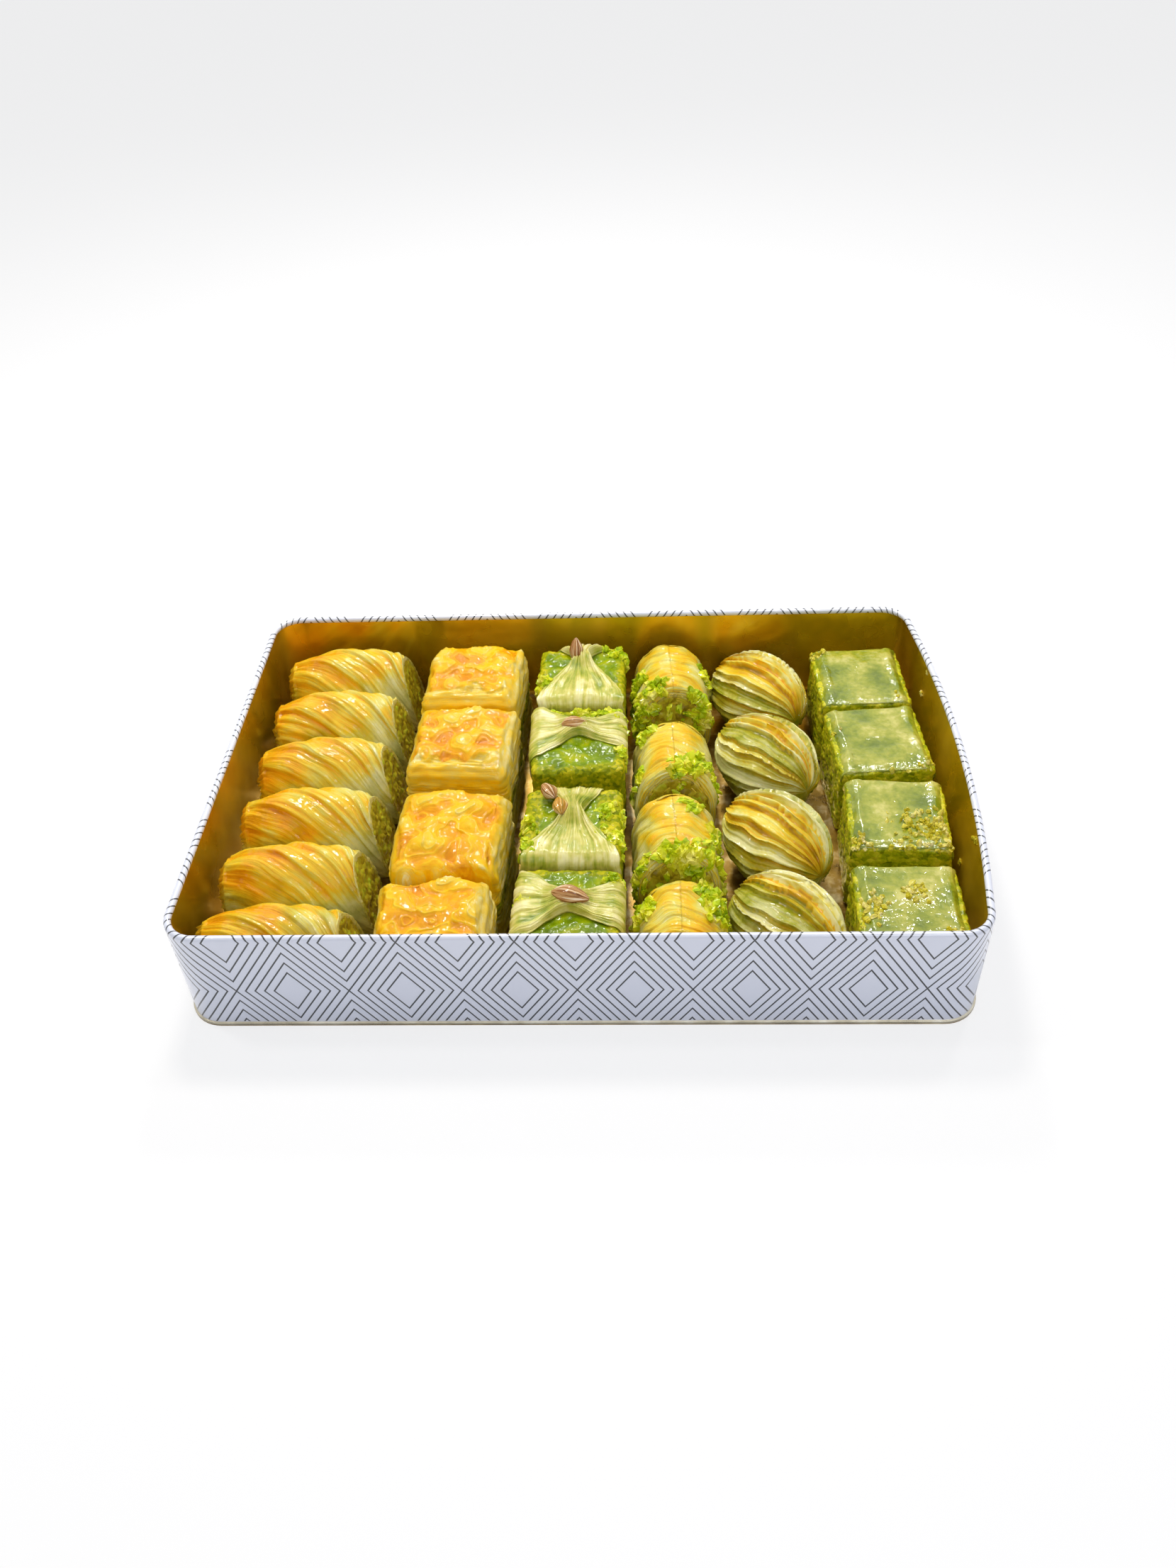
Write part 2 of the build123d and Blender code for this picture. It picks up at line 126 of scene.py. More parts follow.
def lattice(cell, seed):
    """A repeatable number from 0 to 511 for each whole-numbered place."""
    index = shuffle[(cell[..., 0] + 37 * seed) % 512]
    index = shuffle[(index + cell[..., 1]) % 512]
    return shuffle[(index + cell[..., 2]) % 512]


def noise(points, size, seed=0):
    """Smooth values from about -1 to 1 that change over this size, in mm."""
    p = points / np.asarray(size, float)
    cell = np.floor(p).astype(int)
    part = p - cell
    fade = part**3 * (part * (part * 6 - 15) + 10)
    total = np.zeros(p.shape[:-1])
    for corner in itertools.product((0, 1), repeat=3):
        weight = np.prod(np.where(np.array(corner), fade, 1 - fade), axis=-1)
        total += weight * (slopes[lattice(cell + corner, seed)] * (part - corner)).sum(axis=-1)
    return 1.7 * total


def grains(points, size, seed=0, axes=3):
    """Distance to the nearest scattered grain, in sizes, and a random value for that grain."""
    p = points / np.asarray(size, float)
    if axes == 2:
        p = p * (1, 1, 0)
    cell = np.floor(p).astype(int)
    best = np.full(p.shape[:-1], 9.0)
    tint = np.zeros(p.shape[:-1])
    for corner in itertools.product((-1, 0, 1), repeat=axes):
        beside = cell + (corner + (0,) * (3 - axes))
        index = lattice(beside, seed)
        gap = np.linalg.norm((beside + spots[index] - p)[..., :axes], axis=-1)
        nearer = gap < best
        best = np.where(nearer, gap, best)
        tint = np.where(nearer, index / 511, tint)
    return best, tint


def smooth_step(values, start, end):
    """0 before start, 1 after end, and a smooth rise between."""
    share = np.clip((values - start) / (end - start), 0, 1)
    return share * share * (3 - 2 * share)


def columns_of(*values):
    """Several arrays side by side, as points."""
    return np.stack(np.broadcast_arrays(*values), axis=-1)


print("noise spans", noise(np.random.default_rng(1).random((4000, 3)) * 90, 7).round(2).min())

# %% [markdown]
# ## Surfaces from rings
#
# Nearly every sweet here is a stack of closed rings of points: a ring round a block at each
# height, or round a roll at each place of its length. A surface is a dictionary with its points,
# its quads, its end faces and its marks, which are values that the materials read, such as how
# deeply a place is baked, a mark that also holds painted shade and highlight.


# %% Rings, normals and pieces
def surface(rings, **marks):
    """A closed surface from rings of points, first to last, with marks of the same shape."""
    count, columns = rings.shape[:2]
    row, column = np.meshgrid(np.arange(count - 1), np.arange(columns), indexing="ij")
    a = row * columns + column
    b = row * columns + (column + 1) % columns
    quads = np.stack([a, b, b + columns, a + columns], axis=-1).reshape(-1, 4)
    first = np.arange(columns)[::-1]
    ends = [first, first[::-1] + (count - 1) * columns]
    points = rings.reshape(-1, 3)
    middle = points.mean(axis=0)
    p, q, r, s = (points[quads[:, k]] - middle for k in range(4))
    if (np.cross(r - p, s - q) * (p + r)).sum() < 0:
        quads = quads[:, ::-1]
        ends = [end[::-1] for end in ends]
    made = {"points": points, "quads": quads, "ends": ends, "shape": (count, columns)}
    made["marks"] = {key: np.broadcast_to(v, (count, columns)).ravel() for key, v in marks.items()}
    return made


def normals(made):
    """Outward normals of a surface's points."""
    points, quads = made["points"], made["quads"]
    a, b, c, d = (points[quads[:, k]] for k in range(4))
    facing = np.cross(c - a, d - b)
    total = np.zeros_like(points)
    for k in range(4):
        for axis in range(3):
            total[:, axis] += np.bincount(quads[:, k], facing[:, axis], len(points))
    return total / np.maximum(np.linalg.norm(total, axis=1), 1e-9)[:, None]


def push(made, amount):
    """Moves a surface's points out along their normals, in mm."""
    made["points"] = made["points"] + normals(made) * amount[:, None]
    return made


def place(made, x, y, z, turn=0.0):
    """Turns a surface about +Z by degrees and moves it."""
    c, s = cos(radians(turn)), sin(radians(turn))
    made["points"] = made["points"] @ np.array([[c, s, 0], [-s, c, 0], [0, 0, 1]]) + (x, y, z)
    return made


def keep_above(made, height=0.0):
    """Lifts the points of a surface that lie lower than this height, in mm."""
    made["points"][:, 2] = np.maximum(made["points"][:, 2], height)
    return made


def piece(name, surfaces, finish, body, node=None):
    """One mesh object from several surfaces, which rides on its body and may replace a node."""
    points, faces, start = [], [], 0
    for made in surfaces:
        points.append(made["points"])
        faces += (made["quads"] + start).tolist() + [(e + start).tolist() for e in made["ends"]]
        start += len(made["points"])
    mesh = bpy.data.meshes.new(name)
    mesh.from_pydata((np.concatenate(points) * MM).tolist(), [], faces)
    # Every surface of a piece has the same marks
    for mark in surfaces[0]["marks"]:
        values = np.concatenate([made["marks"][mark] for made in surfaces])
        mesh.attributes.new(mark, "FLOAT", "POINT").data.foreach_set("value", values.astype("f4"))
    mesh.polygons.foreach_set("use_smooth", [True] * len(mesh.polygons))
    mesh.materials.append(finish)
    obj = bpy.data.objects.new(name, mesh)
    scene.collection.objects.link(obj)
    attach(obj, body)
    if node:
        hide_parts(node)
    return obj


print("helpers ready")

# %% [markdown]
# ## Camera, light and floor
#
# The camera stands where the photograph was taken: about 0.55 m from the tin, looking down by
# 42 degrees. A broad lamp from above and behind gives the soft shine, two small ones give syrup
# its sparks, two more show only as gleams in it, and the floor is plain white.

# %% Camera
camera_place = Vector((28.0, -396.0, 385.6)) * MM
camera_pitch = radians(41.80)
camera_yaw = radians(-3.73)
camera_roll = radians(-3.17)
level_share = cos(camera_pitch)
ahead = Vector((sin(camera_yaw) * level_share, cos(camera_yaw) * level_share, -sin(camera_pitch)))
level = Vector((cos(camera_yaw), -sin(camera_yaw), 0))
upward = level.cross(ahead)
right = cos(camera_roll) * level + sin(camera_roll) * upward
up = -sin(camera_roll) * level + cos(camera_roll) * upward

camera_data = bpy.data.cameras.new("camera")
camera_data.lens = 28.40
camera_data.sensor_width = 36.0
camera_data.clip_start = 0.01
camera = bpy.data.objects.new("camera", camera_data)
scene.collection.objects.link(camera)
camera.matrix_world = Matrix(
    (
        (right.x, up.x, -ahead.x, camera_place.x),
        (right.y, up.y, -ahead.y, camera_place.y),
        (right.z, up.z, -ahead.z, camera_place.z),
        (0, 0, 0, 1),
    )
)
scene.camera = camera
print("camera looks along", [round(v, 3) for v in ahead])


# %% Lamps and world
def lamp(name, place_mm, aim_mm, size_mm, watts, colour="#FFFFFF"):
    """A square area lamp that points at a place."""
    data = bpy.data.lights.new(name, "AREA")
    data.size = size_mm * MM
    data.energy = watts
    data.color = linear(colour)[:3]
    obj = bpy.data.objects.new(name, data)
    scene.collection.objects.link(obj)
    spot = Vector(place_mm) * MM
    facing = (spot - Vector(aim_mm) * MM).to_track_quat("Z", "Y").to_matrix().to_4x4()
    obj.matrix_world = Matrix.Translation(spot) @ facing
    return obj


lamp("broad_lamp", (-120, 380, 900), (0, 0, 30), 150, 3.8, "#FFF8EE")
lamp("back_lamp", (-60, 640, 640), (0, 20, 40), 100, 2.0)
lamp("front_lamp", (350, -700, 650), (0, 0, 20), 300, 1.2, "#F4F6FF")
# The small lamps by kind: height, size, watts and places. The gleams show only in gloss
for kind, lz, width, watts, lamp_places in (
    ("spark", 780, 75, 1.05, ((-420, 60), (360, 330))),
    ("gleam", 700, 150, 1.7, ((-160, 260), (190, 120))),
):
    for number, (lx, ly) in enumerate(lamp_places, 1):
        small = lamp(f"{kind}_lamp_{number}", (lx, ly, lz), (lx * 0.2, ly * 0.2, 30), width, watts)
        small.visible_diffuse = kind != "gleam"

world = bpy.data.worlds.new("white_room")
world.use_nodes = True
scene.world = world
sky = world.node_tree
sky.nodes.clear()
ray = add(sky, "LightPath").outputs
seen = add(sky, "Math", {0: ray["Is Camera Ray"], 1: ray["Is Glossy Ray"]}, operation="MAXIMUM")
seen = add(sky, "Math", {0: seen, 1: ray["Is Transmission Ray"]}, operation="MAXIMUM")
room = add(sky, "Background", {"Color": linear("#EEF0F6"), "Strength": 0.5})
white = add(sky, "Background", {"Color": (1, 1, 1, 1), "Strength": 1.0})
shown = add(sky, "MixShader", {0: seen, 1: room, 2: white})
add(sky, "OutputWorld", {"Surface": shown})

# %% Floor
floor_mesh = bpy.data.meshes.new("floor")
reach = 3.0  # metres from the middle to each side
corners = [(-reach, -reach, 0), (reach, -reach, 0), (reach, reach, 0), (-reach, reach, 0)]
floor_mesh.from_pydata(corners, [], [(0, 1, 2, 3)])
floor = bpy.data.objects.new("floor", floor_mesh)
scene.collection.objects.link(floor)
# White paint without gloss. To the camera it glows a little, so it stays white round the tin
floor_paint, tree, shader = new_material("matt_white_floor", Base_Color=linear("#FAFAFA"), Roughness=0.9)
camera_ray = add(tree, "LightPath").outputs["Is Camera Ray"]
glow = add(tree, "Emission", {"Color": (1, 1, 1, 1), "Strength": 1.0})
share = add(tree, "Math", {0: camera_ray, 1: 0.72}, operation="MULTIPLY")
mixed = add(tree, "MixShader", {0: share, 1: shader, 2: glow})
wire(tree.nodes["Material Output"], Surface=mixed)
floor_mesh.materials.append(floor_paint)
scene.view_settings.view_transform = "Standard"
print("floor is", 2 * reach, "m wide")

# %% [markdown]
# ## The tin
#
# The wall is one sheet of tinplate, printed on the outside before it was bent. The print is a
# lattice of diamonds with four more drawn inside each, and it runs on over the rolled rim. So the
# wall is built from rings that follow its section, from the bead up the outside, round the curl
# and down the inside, and carries a UV map in millimetres: along the rim, and up the sheet.

# %% Sizes of the tin
tin_low, tin_high = (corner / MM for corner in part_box("tin_wall"))
bead_reach = 0.7
bead_top = 1.7
tinplate = 0.3
corner_radius = 13.5
rim_curl = 2.8
rim_band = 4.0
foot_band = 3.0
half_length = -tin_low.x - bead_reach
half_width = -tin_low.y - bead_reach
rim_z = tin_high.z
wall_bow = tin_high.x - half_length
print(f"tin {2 * half_length:.1f} x {2 * half_width:.1f} x {rim_z:.1f} mm, bow {wall_bow:.1f}")


# %% The tin's plan
corner_points, long_points, short_points, back_points = 14, 39, 19, 20


def tin_plan(inset, bow):
    """Points round the tin, from the middle of its back wall and over its left side."""
    hl, hw, radius = half_length - inset, half_width - inset, corner_radius - inset
    cx, cy = hl - radius, hw - radius
    side = np.linspace(-1, 1, long_points + 2)[1:-1]
    right_side = columns_of(hl, cy * side)
    lean = 0.0
    if bow > 0:
        arc_radius = (cy**2 + bow**2) / (2 * bow)
        lean = asin(cy / arc_radius)
        out = hl + bow - arc_radius + arc_radius * np.cos(side * lean)
        right_side = columns_of(out, arc_radius * np.sin(side * lean))
    quarter = np.linspace(0, pi / 2, corner_points)
    part = np.linspace(0, pi / 2 - lean, corner_points)
    back_left = columns_of(-cx - radius * np.sin(quarter), cy + radius * np.cos(quarter))
    front_left = columns_of(-cx - radius * np.cos(quarter), -cy - radius * np.sin(quarter))
    front_right = columns_of(cx + radius * np.sin(part), -cy - radius * np.cos(part))
    back_right = columns_of(cx + radius * np.sin(part[::-1]), cy + radius * np.cos(part[::-1]))
    left_side = columns_of(-hl, np.linspace(cy, -cy, short_points + 2)[1:-1])
    front = columns_of(np.linspace(-cx, cx, long_points + 2)[1:-1], -hw)
    back = columns_of(np.linspace(cx, -cx, 2 * back_points + 2)[1:-1], hw)
    left_half = (back[back_points:], back_left, left_side, front_left, front)
    return np.concatenate(left_half + (front_right, right_side, back_right, back[:back_points]))


print("points round the tin", len(tin_plan(0.0, 0.0)))

# %% Section of the wall, as heights and distances in from the outer face
curl_z = rim_z - rim_curl / 2
band_z = curl_z - rim_band
curl_turn = 285.0
inner_curl = rim_curl / 2 - tinplate
bead_points, outer_steps, inner_steps = 5, 21, 16


def bow_at(z):
    """How far the long right wall is pushed out at a height."""
    return wall_bow * min(max((z - foot_band) / (band_z - foot_band), 0), 1)


section = [(0.3, -bead_reach), (1.35, -bead_reach), (1.6, 0.12 - bead_reach)]
section += [(bead_top, -0.35), (bead_top, -0.02), (1.9, 0.0), (foot_band, 0.0)]
section += [(z, 0.0) for z in np.linspace(foot_band + 1.5, band_z - 0.5, 26)]
section += [(z, 0.0) for z in (band_z, curl_z - 2, curl_z)]
for angle in np.linspace(0, radians(curl_turn), outer_steps + 1)[1:]:
    section.append((curl_z + rim_curl / 2 * sin(angle), rim_curl / 2 * (1 - cos(angle))))
last_printed = len(section)
for angle in np.linspace(radians(curl_turn), 0, inner_steps):
    section.append((curl_z + inner_curl * sin(angle), rim_curl / 2 - inner_curl * cos(angle)))
inside = (curl_z - 2, band_z, *np.linspace(band_z - 0.5, foot_band, 24), 0.3)
section = np.array(section + [(z, tinplate) for z in inside])
sheet_run = np.concatenate([[0], np.cumsum(np.hypot(*np.diff(section, axis=0).T))])
print("section points", len(section), "sheet", round(float(sheet_run[-1]), 1), "mm")

# %% Build the wall
wall_rings = []
for z, inset in section:
    plan = tin_plan(inset, bow_at(z))
    wall_rings.append(columns_of(plan[:, 0], plan[:, 1], z))
wall_rings = np.array(wall_rings)
wall_surface = surface(np.concatenate([wall_rings, wall_rings[:1]]))
wall_count, wall_columns = wall_rings.shape[:2]
wall_mesh = bpy.data.meshes.new("printed_wall")
wall_quads = wall_surface["quads"] % (wall_count * wall_columns)
wall_mesh.from_pydata((wall_rings.reshape(-1, 3) * MM).tolist(), [], wall_quads.tolist())
print("wall rings", wall_count, "of", wall_columns, "points")

# %% UV map in millimetres
foot_plan = tin_plan(0.0, 0.0)
steps = np.hypot(*np.diff(np.concatenate([foot_plan, foot_plan[:1]]), axis=0).T)
along_rim = np.concatenate([[0], np.cumsum(steps)])
# The print is measured from where the front wall meets its left corner
front_start = (corner_radius - half_length, -half_width)
along_rim -= along_rim[np.abs(foot_plan - front_start).sum(axis=1).argmin()]
height_up = sheet_run - sheet_run[bead_points - 1] + bead_top
height_up[:bead_points] = section[:bead_points, 0]
uv_layer = wall_mesh.uv_layers.new(name="print_mm")
corner_vertex = np.zeros(len(wall_mesh.loops), int)
wall_mesh.loops.foreach_get("vertex_index", corner_vertex)
rows, cols = corner_vertex // wall_columns, corner_vertex % wall_columns
face_cols, face_rows = cols.reshape(-1, 4), rows.reshape(-1, 4)
wraps = (np.ptp(face_cols, axis=1) > 1)[:, None] & (face_cols == 0)
u = np.where(wraps.ravel(), along_rim[wall_columns], along_rim[cols])
uv_layer.data.foreach_set("uv", columns_of(u * MM, height_up[rows] * MM).ravel().astype("f4"))
wall_mesh.polygons.foreach_set("use_smooth", [True] * len(wall_mesh.polygons))
inner_face = (face_rows.min(axis=1) >= last_printed) | (np.ptp(face_rows, axis=1) > 1)
bead_face = face_rows.max(axis=1) < bead_points
wall_mesh.polygons.foreach_set("material_index", np.where(bead_face, 2, inner_face).astype(int))
print("print runs", round(float(along_rim[-1] - along_rim[0]), 1), "mm round the tin")

# %% [markdown]
# ## Printed enamel, gold lacquer and bare tinplate
#
# The outside is white enamel with thin dark grey lines. Diamonds stand in staggered rows. A line is
# where the distances from a diamond's middle, each divided by its own step from line to line, add
# up to 1.9, 2.9, 3.9 or 4.9. Only the outermost lines touch, and they cross between the rows. Gold
# lacquer is a clear yellow varnish over bright tin, so it acts as a soft golden mirror.

# %% Printed enamel
# Enamel fired on the sheet, printed and varnished: a cool even white with soft reflections
enamel, tree, shader = new_material(
    "printed_white_enamel", Roughness=0.32, Coat_Weight=0.8, Coat_Roughness=0.1
)
# Along the rim and up the sheet, in mm: the diamonds' period, one's middle, and its step
print_axes = ((43.1, 31.95, 3.69), (54.8, 20.4, 5.59))
line_steps = (1.9, 2.9, 3.9, 4.9)
line_width = 0.62
split = add(tree, "SeparateXYZ", {0: add(tree, "UVMap", uv_map="print_mm")})
sums = []
for axis, (period, middle, step) in enumerate(print_axes):
    shifted = add(tree, "Math", {0: split.outputs[axis], 1: middle * MM}, operation="SUBTRACT")
    folded = add(tree, "Math", {0: shifted, 1: period / 2 * MM}, operation="PINGPONG")
    sums.append(add(tree, "Math", {0: folded, 1: step * MM}, operation="DIVIDE"))
far = add(tree, "Math", {0: sums[0], 1: sums[1]}, operation="ADD")
between = sum(period / 2 / step for period, _, step in print_axes)
other = add(tree, "Math", {0: between, 1: far}, operation="SUBTRACT")
near = add(tree, "Math", {0: far, 1: other}, operation="MINIMUM")
line_half = line_width / 2 * sqrt(sum((1 / step) ** 2 for _, _, step in print_axes))
ink = None
for steps_out in line_steps:
    away = add(tree, "Math", {0: near, 1: steps_out}, operation="SUBTRACT")
    away = add(tree, "Math", {0: away}, operation="ABSOLUTE")
    soft_edge = {"From Min": line_half * 1.25, "From Max": line_half * 0.75}
    line = add(tree, "MapRange", {"Value": away, **soft_edge})
    ink = line if ink is None else add(tree, "Math", {0: ink, 1: line}, operation="MAXIMUM")
bead_edge = (bead_top + 0.3) * MM
above_bead = add(tree, "Math", {0: split.outputs[1], 1: bead_edge}, operation="GREATER_THAN")
ink = add(tree, "Math", {0: ink, 1: above_bead}, operation="MULTIPLY")
blend = add(tree, "Mix", {0: ink, 6: linear("#DEE2EF"), 7: linear("#14161A")}, data_type="RGBA")
wire(shader, Base_Color=blend.outputs[2])
print("printed lines", len(line_steps), "to a diamond,", line_width, "mm wide")

# %% Gold lacquer and bare tinplate
def lacquer_on_tin(name, shades, roughness, wear_mm):
    """Tinplate under a tinted varnish, with cloudy patches of uneven varnish and syrup."""
    made, tree, shader = new_material(name, Metallic=0.75, Coat_Weight=0.35, Coat_Roughness=0.1)
    where = add(tree, "TexCoord").outputs["Object"]
    wear = {"Vector": where, "Scale": 1000 / wear_mm, "Detail": 4.0, "Roughness": 0.6}
    cloud = add(tree, "TexNoise", wear)
    tone = add(tree, "ValToRGB", {"Fac": cloud}, stops=shades)
    span = {"From Min": 0.3, "From Max": 0.7, "To Min": roughness, "To Max": roughness + 0.14}
    rough = add(tree, "MapRange", {"Value": cloud, **span})
    dent = add(tree, "TexNoise", {"Vector": where, "Scale": 1000 / 22, "Detail": 2.0})
    bump = add(tree, "Bump", {"Height": dent, "Strength": 0.35, "Distance": 0.001})
    wire(shader, Base_Color=tone, Roughness=rough, Normal=bump)
    return made


# Yellow varnish over bright tin: a soft golden mirror that shows blurred sweets
gold_lacquer = lacquer_on_tin(
    "gold_lacquered_tinplate", ((0.3, "#B2940A"), (0.5, "#D8B210"), (0.7, "#F2CE30")), 0.2, 60
)
# The base under a film of syrup: brown smears between pale golden spots
bright_tin = lacquer_on_tin(
    "syrupy_bright_tinplate", ((0.3, "#765814"), (0.5, "#9E7A28"), (0.72, "#DCC890")), 0.25, 9
)
# The folded lower edge without print: a pale line between grey and beige
bead_tin = lacquer_on_tin(
    "bare_tinplate_bead", ((0.3, "#A8A08A"), (0.5, "#C4BCA4"), (0.7, "#DEDACA")), 0.25, 10
)
for finish in (enamel, gold_lacquer, bead_tin):
    wall_mesh.materials.append(finish)
wall = bpy.data.objects.new("printed_wall", wall_mesh)
scene.collection.objects.link(wall)
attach(wall, "tin")
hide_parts("tin_wall")
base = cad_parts["tin_base"]
base.data.materials.clear()
base.data.materials.append(bright_tin)
print("tin built")

# %% [markdown]
# ## Baked dough
#
# Filo is flour and water rolled thinner than paper and brushed with butter. The oven browns what
# stands highest and leaves the sides pale, and hot syrup then soaks in and leaves a wet gloss. The
# meshes mark how far each place is baked, with painted shade darker in its hollows and painted
# highlight paler on its ridges. They also mark how much green shows: filling that shines through,
# and painted shade in the shells' valleys. The material turns both marks into colour, with fine
# wrinkles that follow the dough.


# %% Material of baked dough
def strands(tree, across_scale, along_scale, roughness=0.6):
    """Noise in long strands: fine over the mark across, and drawn out over the mark along."""
    across, along = (add(tree, "Attribute", attribute_name=mark) for mark in ("across", "along"))
    spot = add(tree, "CombineXYZ", {0: across.outputs["Fac"], 1: along.outputs["Fac"]})
    drawn = add(tree, "Mapping", {"Vector": spot, "Scale": (across_scale, along_scale, 1.0)})
    settings = {"Vector": drawn, "Scale": 1.0, "Detail": 4.0, "Roughness": roughness}
    return add(tree, "TexNoise", settings)


def baked_dough(name, shades, wrinkle_mm, wrinkle_depth, gloss):
    """Syrupy filo: colour from the marks bake and green, which also carry painted shade and highlight,
    wrinkles in strands of its dough.
    """
    made, tree, shader = new_material(
        name, Roughness=0.45, Specular_IOR_Level=0.05, Coat_Weight=gloss, Coat_Roughness=0.05,
        Coat_IOR=1.4, Subsurface_Weight=0.12, Subsurface_Radius=(0.004, 0.002, 0.0008),
        Subsurface_Scale=0.6,
    )
    where = add(tree, "TexCoord").outputs["Object"]
    bake = add(tree, "Attribute", attribute_name="bake").outputs["Fac"]
    green = add(tree, "Attribute", attribute_name="green").outputs["Fac"]
    spotty = {"Vector": where, "Scale": 1000 / 4.5, "Detail": 5.0, "Roughness": 0.62}
    speckle = add(tree, "TexNoise", spotty)
    wrinkle = strands(tree, 1 / wrinkle_mm, 0.08 / wrinkle_mm, 0.65)
    uneven = add(tree, "Math", {0: speckle, 1: 0.5}, operation="SUBTRACT")
    lined = add(tree, "Math", {0: wrinkle, 1: 0.5}, operation="SUBTRACT")
    tone = add(tree, "Math", {0: uneven, 1: 0.45, 2: bake}, operation="MULTIPLY_ADD")
    tone = add(tree, "Math", {0: lined, 1: 0.55, 2: tone}, operation="MULTIPLY_ADD")
    colour = add(tree, "ValToRGB", {"Fac": tone}, stops=shades)
    seep = add(tree, "Math", {0: speckle, 1: green}, operation="MULTIPLY")
    seep = add(tree, "Math", {0: seep, 1: 1.5}, operation="MULTIPLY", use_clamp=True)
    tinted = add(tree, "Mix", {0: seep, 6: colour, 7: linear("#8E9412")}, data_type="RGBA")
    relief = {"Height": wrinkle, "Strength": 0.9, "Distance": wrinkle_depth * MM}
    bump = add(tree, "Bump", relief)
    fine = add(tree, "Bump", {"Height": speckle, "Strength": 0.5, "Distance": 0.0005, "Normal": bump})
    syrup = add(tree, "TexNoise", {"Vector": where, "Scale": 1000 / 5, "Detail": 1.0})
    pooled = add(tree, "Bump", {"Height": syrup, "Strength": 1.0, "Distance": 0.0014})
    wire(shader, Base_Color=tinted.outputs[2], Normal=fine, Coat_Normal=pooled)
    return made


# From raw and pale over butter yellow to baked orange. The layered squares' filo is yellower
dough_shades = (
    (0.04, "#EAE4A2"), (0.26, "#E4D55E"), (0.48, "#F0C828"), (0.74, "#F5AE10"), (0.98, "#E08C08")
)
golden_shades = (
    (0.04, "#EFE2A0"), (0.26, "#EAC844"), (0.48, "#F8C408"), (0.74, "#F2AA00"), (0.98, "#E09000")
)
# The rolls' filo: the deepest wrinkles and the wettest gloss
twisted_dough = baked_dough("twisted_filo_baked_in_butter", dough_shades, 0.8, 0.5, 0.8)
# The squares' leaves: the finest and shallowest wrinkles, and the thinnest gloss
layered_dough = baked_dough("layered_filo_baked_in_butter", golden_shades, 0.7, 0.28, 0.55)
# The crumbed rolls' filo: broad soft wrinkles and a middling gloss, pale where bake is low
wrapped_dough = baked_dough("wrapped_filo_baked_in_butter", dough_shades, 0.9, 0.4, 0.6)
# The shells' filo: the crumbed rolls' wrinkles and gloss, greener where the mark green is high
pleated_dough = baked_dough("pleated_filo_baked_in_butter", dough_shades, 0.9, 0.4, 0.6)
print("dough shades", len(dough_shades), "and", len(golden_shades))

# %% Material of nut paste and chopped filling
def ground_nuts(name, shades, grain_mm, gloss):
    """Moist ground nuts: each grain has its own shade, with a bump round its edge."""
    made, tree, shader = new_material(
        name, Roughness=0.5, Specular_IOR_Level=0.1, Coat_Weight=gloss, Coat_Roughness=0.12,
        Coat_IOR=1.4, Subsurface_Weight=0.1, Subsurface_Radius=(0.002, 0.003, 0.0005),
        Subsurface_Scale=0.5,
    )
    where = add(tree, "TexCoord").outputs["Object"]
    cells = add(tree, "TexVoronoi", {"Vector": where, "Scale": 1000 / grain_mm})
    cloud = add(tree, "TexNoise", {"Vector": where, "Scale": 1000 / 6, "Detail": 4.0})
    own = add(tree, "SeparateColor", {0: cells.outputs["Color"]})
    mixed = add(tree, "Math", {0: own, 1: 0.45, 2: cloud}, operation="MULTIPLY_ADD")
    tone = add(tree, "Math", {0: mixed, 1: 0.22}, operation="SUBTRACT")
    colour = add(tree, "ValToRGB", {"Fac": tone}, stops=shades)
    bump = add(tree, "Bump", {"Height": cells, "Strength": 0.8, "Distance": 0.0006}, invert=True)
    wire(shader, Base_Color=colour, Normal=bump)
    return made


# Chopped nuts soaked in syrup: olive and brown bits with wet sparks
filling_shades = ((0.1, "#6E5C0C"), (0.4, "#AA9618"), (0.62, "#C2B428"), (0.9, "#AEC42A"))
roll_filling = ground_nuts("chopped_pistachio_in_syrup", filling_shades, 2.2, 0.5)
# Paste cut with a knife: a bright green crumbly face that shines little
paste_shades = ((0.08, "#646E04"), (0.36, "#96A008"), (0.58, "#BEBC14"), (0.88, "#E2D438"))
pistachio_paste = ground_nuts("coarse_pistachio_paste", paste_shades, 1.8, 0.3)
print("dough and nut materials ready")

# %% [markdown]
# ## Twisted rolls
#
# A sheet of filo is wound round nuts and wrung, so its wrinkles run diagonally over the back and
# fan out from the drawn-in left end. Each roll is a stack of rings along its length. A coordinate
# that runs across the wrinkles carries a saw wave for the sheet's laps and noise for its creases.

# %% Rolls
roll_half, roll_height, roll_shoulder, roll_foot_inset = 15.8, 42.0, 17.0, 4.8
tail_reach, tail_inset, tail_drop = 33.0, 5.0, 9.0
cut_reach, cut_inset, cut_drop = 29.5, 2.6, 4.5
lap_count, lap_pitch, lap_height = 8, 14.0, 1.4
print("one lap is", round(lap_pitch, 1), "mm wide")


def dome_ring(angle, half, top, shoulder):
    """Points of an upright section with a flat foot, as distances across and up."""
    side = np.sin(angle)
    rise = np.cos(angle)
    low = rise < 0
    across = np.sign(side) * np.abs(side) ** np.where(low, 0.6, 1.0)
    lower = np.maximum(1 - 1.04 * np.abs(rise) ** 0.62, 0)
    height = np.where(low, shoulder * lower, shoulder + (top - shoulder) * rise)
    return half * across, height


def slant_cut(made, end_x):
    """Leans a roll's cut end, so that its filling shows from above."""
    points = made["points"]
    near = np.clip((points[:, 0] - end_x + 16) / 16, 0, 1.1) ** 2
    points[:, 0] -= 5.5 * near * np.clip(points[:, 2] / 37, 0, 1.1) ** 1.5


